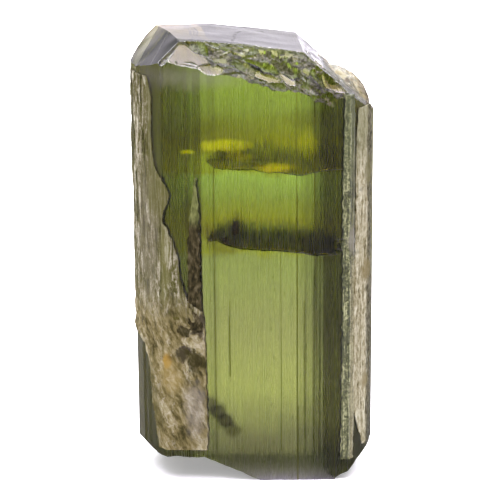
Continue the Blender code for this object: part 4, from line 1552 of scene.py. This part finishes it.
def crystal_material(settings):
    """Clear green tourmaline: satin striated sides and glossy breaks."""
    material, n = new_material("green_tourmaline")
    spot = n.millimetres()
    axes = n.axes(spot)
    marks = {name: n.mark(name) for name in BREAK_MARKS}
    fresh, flank = marks["fresh_break"], marks["flank"]
    streaks = n.cloud(spot, (3.6, 3.6, 0.03), 5.0, 0.7)
    lines = n.cloud(spot, (14.0, 14.0, 0.10), 3.0, 0.6, (5.0, 0.0, 0.0))
    fine = n.cloud(spot, (11.0, 11.0, 3.5), 4.0, 0.7, (2.0, 3.0, 1.0))
    grit = n.cloud(spot, (5.5, 5.5, 5.5), 6.0, 0.70, (1.0, 7.0, 0.0))
    side, haze, glow, pits = crystal_sides(n, spot, axes, streaks, fine)
    broken, facet = crystal_breaks(n, spot, axes, marks, grit)
    # Painted shade on the prism's flanks
    flank_shade = n.blend(n.spread(axes[2], 9.0, 15.0), LOW_FLANK_SHADE, HIGH_FLANK_SHADE)
    colour = n.tint(flank, 0.85, n.blend(fresh, side, broken), flank_shade)

    rough = n.plus(n.spread(lines, 0.3, 0.7, 0.20, 0.34), n.times(flank, 0.62))
    rough = n.times(n.plus(rough, n.times(haze, 0.20)), n.minus(1.0, fresh))
    rough = n.plus(rough, n.times(fresh, n.spread(marks["polish"], 0.0, 1.0, 0.42, 0.05)))

    light_haze = n.times(haze, n.spread(fine, 0.35, 0.65, 0.4, 1.0))
    flashes = n.times(glow, n.spread(streaks, 0.30, 0.70, 0.3, 1.3))
    relief = n.plus(n.times(lines, 0.6), n.times(pits, -1.0))
    relief = n.times(relief, n.spread(fresh, 0.0, 1.0, 1.0, 0.0), n.plus(1.0, n.times(flank, 5.0)))
    inputs = {
        "Base Color": colour,
        "Roughness": rough,
        "Coat Weight": crystal_gloss(n, spot, axes, marks, grit, facet),
        "Coat Roughness": 0.06,
        "Coat IOR": settings.ior,
        "IOR": settings.ior,
        "Specular IOR Level": 0.3,
        "Specular Tint": (0.12, 0.12, 0.12, 1.0),
        "Transmission Weight": 1.0,
        # Painted light: the crystal glows in places though it is no lamp
        "Emission Color": crystal_glow(n, axes, marks, grit, light_haze, flashes),
        "Emission Strength": 1.0,
        "Normal": n.bump(0.5, 0.00002, relief),
    }
    output = n.close(n.add("ShaderNodeBsdfPrincipled", inputs))
    absorb = n.add(
        "ShaderNodeVolumeAbsorption", {"Color": (*settings.clear_colour, 1.0), "Density": settings.absorption}
    )
    n.tree.links.new(absorb.outputs[0], output.inputs["Volume"])
    return material


def mark_breaks(prism):
    """Marks on each face: whether it is a break, how it is finished, and the prism's flanks."""
    marks = {name: [] for name in BREAK_MARKS}
    for face in prism.data.polygons:
        fresh = abs(face.normal.z) > BREAK_TILT
        at_top = fresh and face.center.z > 0.5 * PRISM_TOP * MM and face.normal.z > 0.0
        values = (0.0,) * 7
        if at_top:
            x, y = face.center.x / MM + BOX_MIDDLE[0], face.center.y / MM + BOX_MIDDLE[1]
            shard = shards(x, bevel_back(x, y)[1])[1]
            values = (*top_break(x, y)[1:], *top_seam(x, y), shard, on_bevel_side(x, y))
        flank = float(not fresh and abs(face.normal.y) < FLANK_LIMIT)
        for name, value in zip(BREAK_MARKS, (float(fresh), *values, flank)):
            marks[name].append(value)
    for name, values in marks.items():
        prism.data.attributes.new(name, "FLOAT", "FACE").data.foreach_set("value", values)


def studio_world():
    """Soft light all round: bright behind the crystal and straight overhead, dim elsewhere."""
    world = bpy.data.worlds.new("studio")
    world.use_nodes = True
    n = Nodes(world.node_tree)
    axes = n.axes(n.add("ShaderNodeTexCoord").outputs["Generated"])
    behind = n.times(n.spread(axes[1], -0.25, 0.75), n.spread(axes[2], 0.245, 0.33, 1.0, 0.0))
    colour = n.blend(behind, ROOM_LIGHT, BACK_LIGHT)
    leaning = n.minus(n.times(axes[2], 0.993), n.times(axes[1], 0.12))
    colour = n.blend(n.spread(leaning, 0.77, 0.85), colour, OVERHEAD_LIGHT)
    n.tree.links.new(colour, n.tree.nodes["Background"].inputs["Color"])
    return world


def add_softbox(name, power, size, location, aim):
    """A rectangular soft light that faces a point."""
    light = bpy.data.lights.new(name, "AREA")
    light.shape = "RECTANGLE"
    light.size, light.size_y = size
    light.energy = power
    lamp = bpy.data.objects.new(name, light)
    lamp.location = location
    lamp.rotation_euler = (Vector(aim) - lamp.location).to_track_quat("-Z", "Y").to_euler()
    bpy.context.scene.collection.objects.link(lamp)


def dress(obj, angle, material):
    """Turns a piece's faces outwards, shades it and gives it its one material."""
    finish_mesh(obj, angle)
    obj.data.materials.clear()
    obj.data.materials.append(material)


class CrystalSettings(bpy.types.PropertyGroup):
    """Sizes and colours of the clear prism."""

    ior: FloatProperty(name="Refraction", description="Index of refraction of the crystal", default=1.63)
    clear_colour: FloatVectorProperty(
        name="Clear colour",
        description="Colour that light keeps as it goes through the crystal",
        subtype="COLOR",
        size=3,
        default=(0.65, 0.69, 0.42),
    )
    absorption: FloatProperty(
        name="Absorption", description="How strongly the crystal takes up light, per metre", default=620.0
    )


class StageSettings(bpy.types.PropertyGroup):
    """Floor, light and camera."""

    camera_distance: FloatProperty(
        name="Camera distance", description="From the lens to the crystal", default=0.180, unit="LENGTH"
    )
    camera_height: FloatProperty(
        name="Aim height", description="Height that the camera aims at", default=0.01367, unit="LENGTH"
    )
    elevation: FloatProperty(
        name="Camera elevation",
        description="How far the camera looks down",
        default=math.radians(13.0),
        unit="ROTATION",
    )
    softbox_power: FloatProperty(name="Softbox power", description="Watts of the light overhead", default=1.1)
    key_power: FloatProperty(name="Key light power", description="Watts of the light at the left", default=1.0)


class TOURMALINE_OT_crystal(bpy.types.Operator):
    """Make the clear green prism"""

    bl_idname = "tourmaline.crystal"
    bl_label = "Clear prism"

    def execute(self, context):
        prism = make_prism()
        finish_mesh(prism, CUTTER_ANGLE)
        cut(prism, break_block("top_break", top_height, TOP_GRID, PRISM_TOP + BREAK_MARGIN))
        cut(prism, break_block("base_break", base_height, BASE_GRID, -BREAK_MARGIN))
        for crack in (UPPER_CRACK, LOWER_CRACK):
            open_crack(prism, crack)
        scoop_edge(prism)
        for band in (LEFT_BAND, TONGUE_BAND, RIGHT_BAND, SKIN_BAND):
            cut_bed(prism, band)
        dress(prism, CRYSTAL_ANGLE, crystal_material(context.scene.tourmaline_crystal))
        mark_breaks(prism)
        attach(prism, "root")
        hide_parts("crystal")
        return {"FINISHED"}


class TOURMALINE_OT_inclusions(bpy.types.Operator):
    """Make the dark lumps and the iron stains inside the crystal"""

    bl_idname = "tourmaline.inclusions"
    bl_label = "Inclusions"

    def execute(self, context):
        parts = [lump("dark_inclusions", *row) for row in DARK_INCLUSIONS]
        bpy.ops.object.select_all(action="DESELECT")
        for part in parts:
            part.select_set(True)
        context.view_layer.objects.active = parts[0]
        bpy.ops.object.join()
        upper = stained_sheet("upper_crack_stain", UPPER_CRACK)
        lower = stained_sheet("lower_crack_stain", LOWER_CRACK)
        for piece, finish in (
            (parts[0], dark_inclusion()),
            (upper, crack_stain("upper_crack_stain", UPPER_STAIN, UPPER_FLASHES, UPPER_COVER)),
            (lower, crack_stain("lower_crack_stain", LOWER_STAIN, LOWER_FLASHES, LOWER_COVER)),
        ):
            dress(piece, CRUST_ANGLE, finish)
            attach(piece, "root")
        return {"FINISHED"}


class TOURMALINE_OT_crust(bpy.types.Operator):
    """Make both strips of matrix crust"""

    bl_idname = "tourmaline.crust"
    bl_label = "Crust"

    def execute(self, context):
        left = band_block("left_crust_detail", LEFT_BAND, left_relief)
        tongue = band_block("tongue_detail", TONGUE_BAND, tongue_relief)
        right = band_block("right_crust_detail", RIGHT_BAND, right_relief)
        skin = band_block("right_skin_detail", SKIN_BAND, skin_relief)
        for piece, node, slot, finish in (
            (left, "left_crust", "tan_matrix", tan_crust()),
            (tongue, "left_crust", "tan_matrix", dark_crust()),
            (right, "right_crust", "cream_matrix", cream_crust()),
            (skin, "right_crust", "cream_matrix", pale_skin()),
        ):
            dress(piece, CRUST_ANGLE, finish)
            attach(piece, "root")
            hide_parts(node)
        return {"FINISHED"}


class TOURMALINE_OT_stage(bpy.types.Operator):
    """Make the floor, the light and the camera"""

    bl_idname = "tourmaline.stage"
    bl_label = "Stage"

    def execute(self, context):
        settings = context.scene.tourmaline_stage
        bpy.ops.object.select_all(action="DESELECT")
        bpy.ops.mesh.primitive_plane_add(size=6.0)
        floor = named("floor")
        material, n = new_material("pale_floor")
        inputs = {"Base Color": (0.90, 0.90, 0.90, 1.0), "Roughness": 0.9}
        inputs.update({"Emission Color": (1.0, 1.0, 1.0, 1.0), "Emission Strength": 0.30})
        n.close(n.add("ShaderNodeBsdfPrincipled", inputs))
        floor.data.materials.append(material)

        context.scene.world = studio_world()
        add_softbox("softbox", settings.softbox_power, *SOFTBOX)
        add_softbox("key_light", settings.key_power, *KEY_LIGHT)

        camera = bpy.data.objects.new("camera", bpy.data.cameras.new("camera"))
        camera.data.lens = CAMERA_LENS
        camera.data.sensor_width = 36.0
        camera.data.clip_start = 0.01
        aim = place(0.0, 0.0, 0.0) + Vector((0.0, 0.0, settings.camera_height))
        away = Vector((0.0, -math.cos(settings.elevation), math.sin(settings.elevation)))
        camera.location = aim + away * settings.camera_distance
        camera.rotation_euler = (-away).to_track_quat("-Z", "Y").to_euler()
        context.scene.collection.objects.link(camera)
        context.scene.camera = camera
        context.scene.view_settings.view_transform = "Standard"
        return {"FINISHED"}


class TOURMALINE_PT_panel(bpy.types.Panel):
    """The pieces and their settings"""

    bl_idname = "TOURMALINE_PT_panel"
    bl_label = "Tourmaline"
    bl_space_type = "VIEW_3D"
    bl_region_type = "UI"
    bl_category = "Tourmaline"

    def draw(self, context):
        for name in ("tourmaline_crystal", "tourmaline_stage"):
            box = self.layout.box()
            for setting in getattr(context.scene, name).bl_rna.properties:
                if setting.identifier not in ("rna_type", "name"):
                    box.prop(getattr(context.scene, name), setting.identifier)
        for operator in OPERATORS:
            self.layout.operator(operator.bl_idname)


OPERATORS = (TOURMALINE_OT_crystal, TOURMALINE_OT_inclusions, TOURMALINE_OT_crust, TOURMALINE_OT_stage)
CLASSES = (CrystalSettings, StageSettings, *OPERATORS, TOURMALINE_PT_panel)


def register():
    for cls in CLASSES:
        bpy.utils.register_class(cls)
    bpy.types.Scene.tourmaline_crystal = PointerProperty(type=CrystalSettings)
    bpy.types.Scene.tourmaline_stage = PointerProperty(type=StageSettings)


def unregister():
    del bpy.types.Scene.tourmaline_stage
    del bpy.types.Scene.tourmaline_crystal
    for cls in reversed(CLASSES):
        bpy.utils.unregister_class(cls)


def main():
    register()
    bpy.ops.tourmaline.crystal()
    bpy.ops.tourmaline.inclusions()
    bpy.ops.tourmaline.crust()
    bpy.ops.tourmaline.stage()


if __name__ == "__main__":
    main()
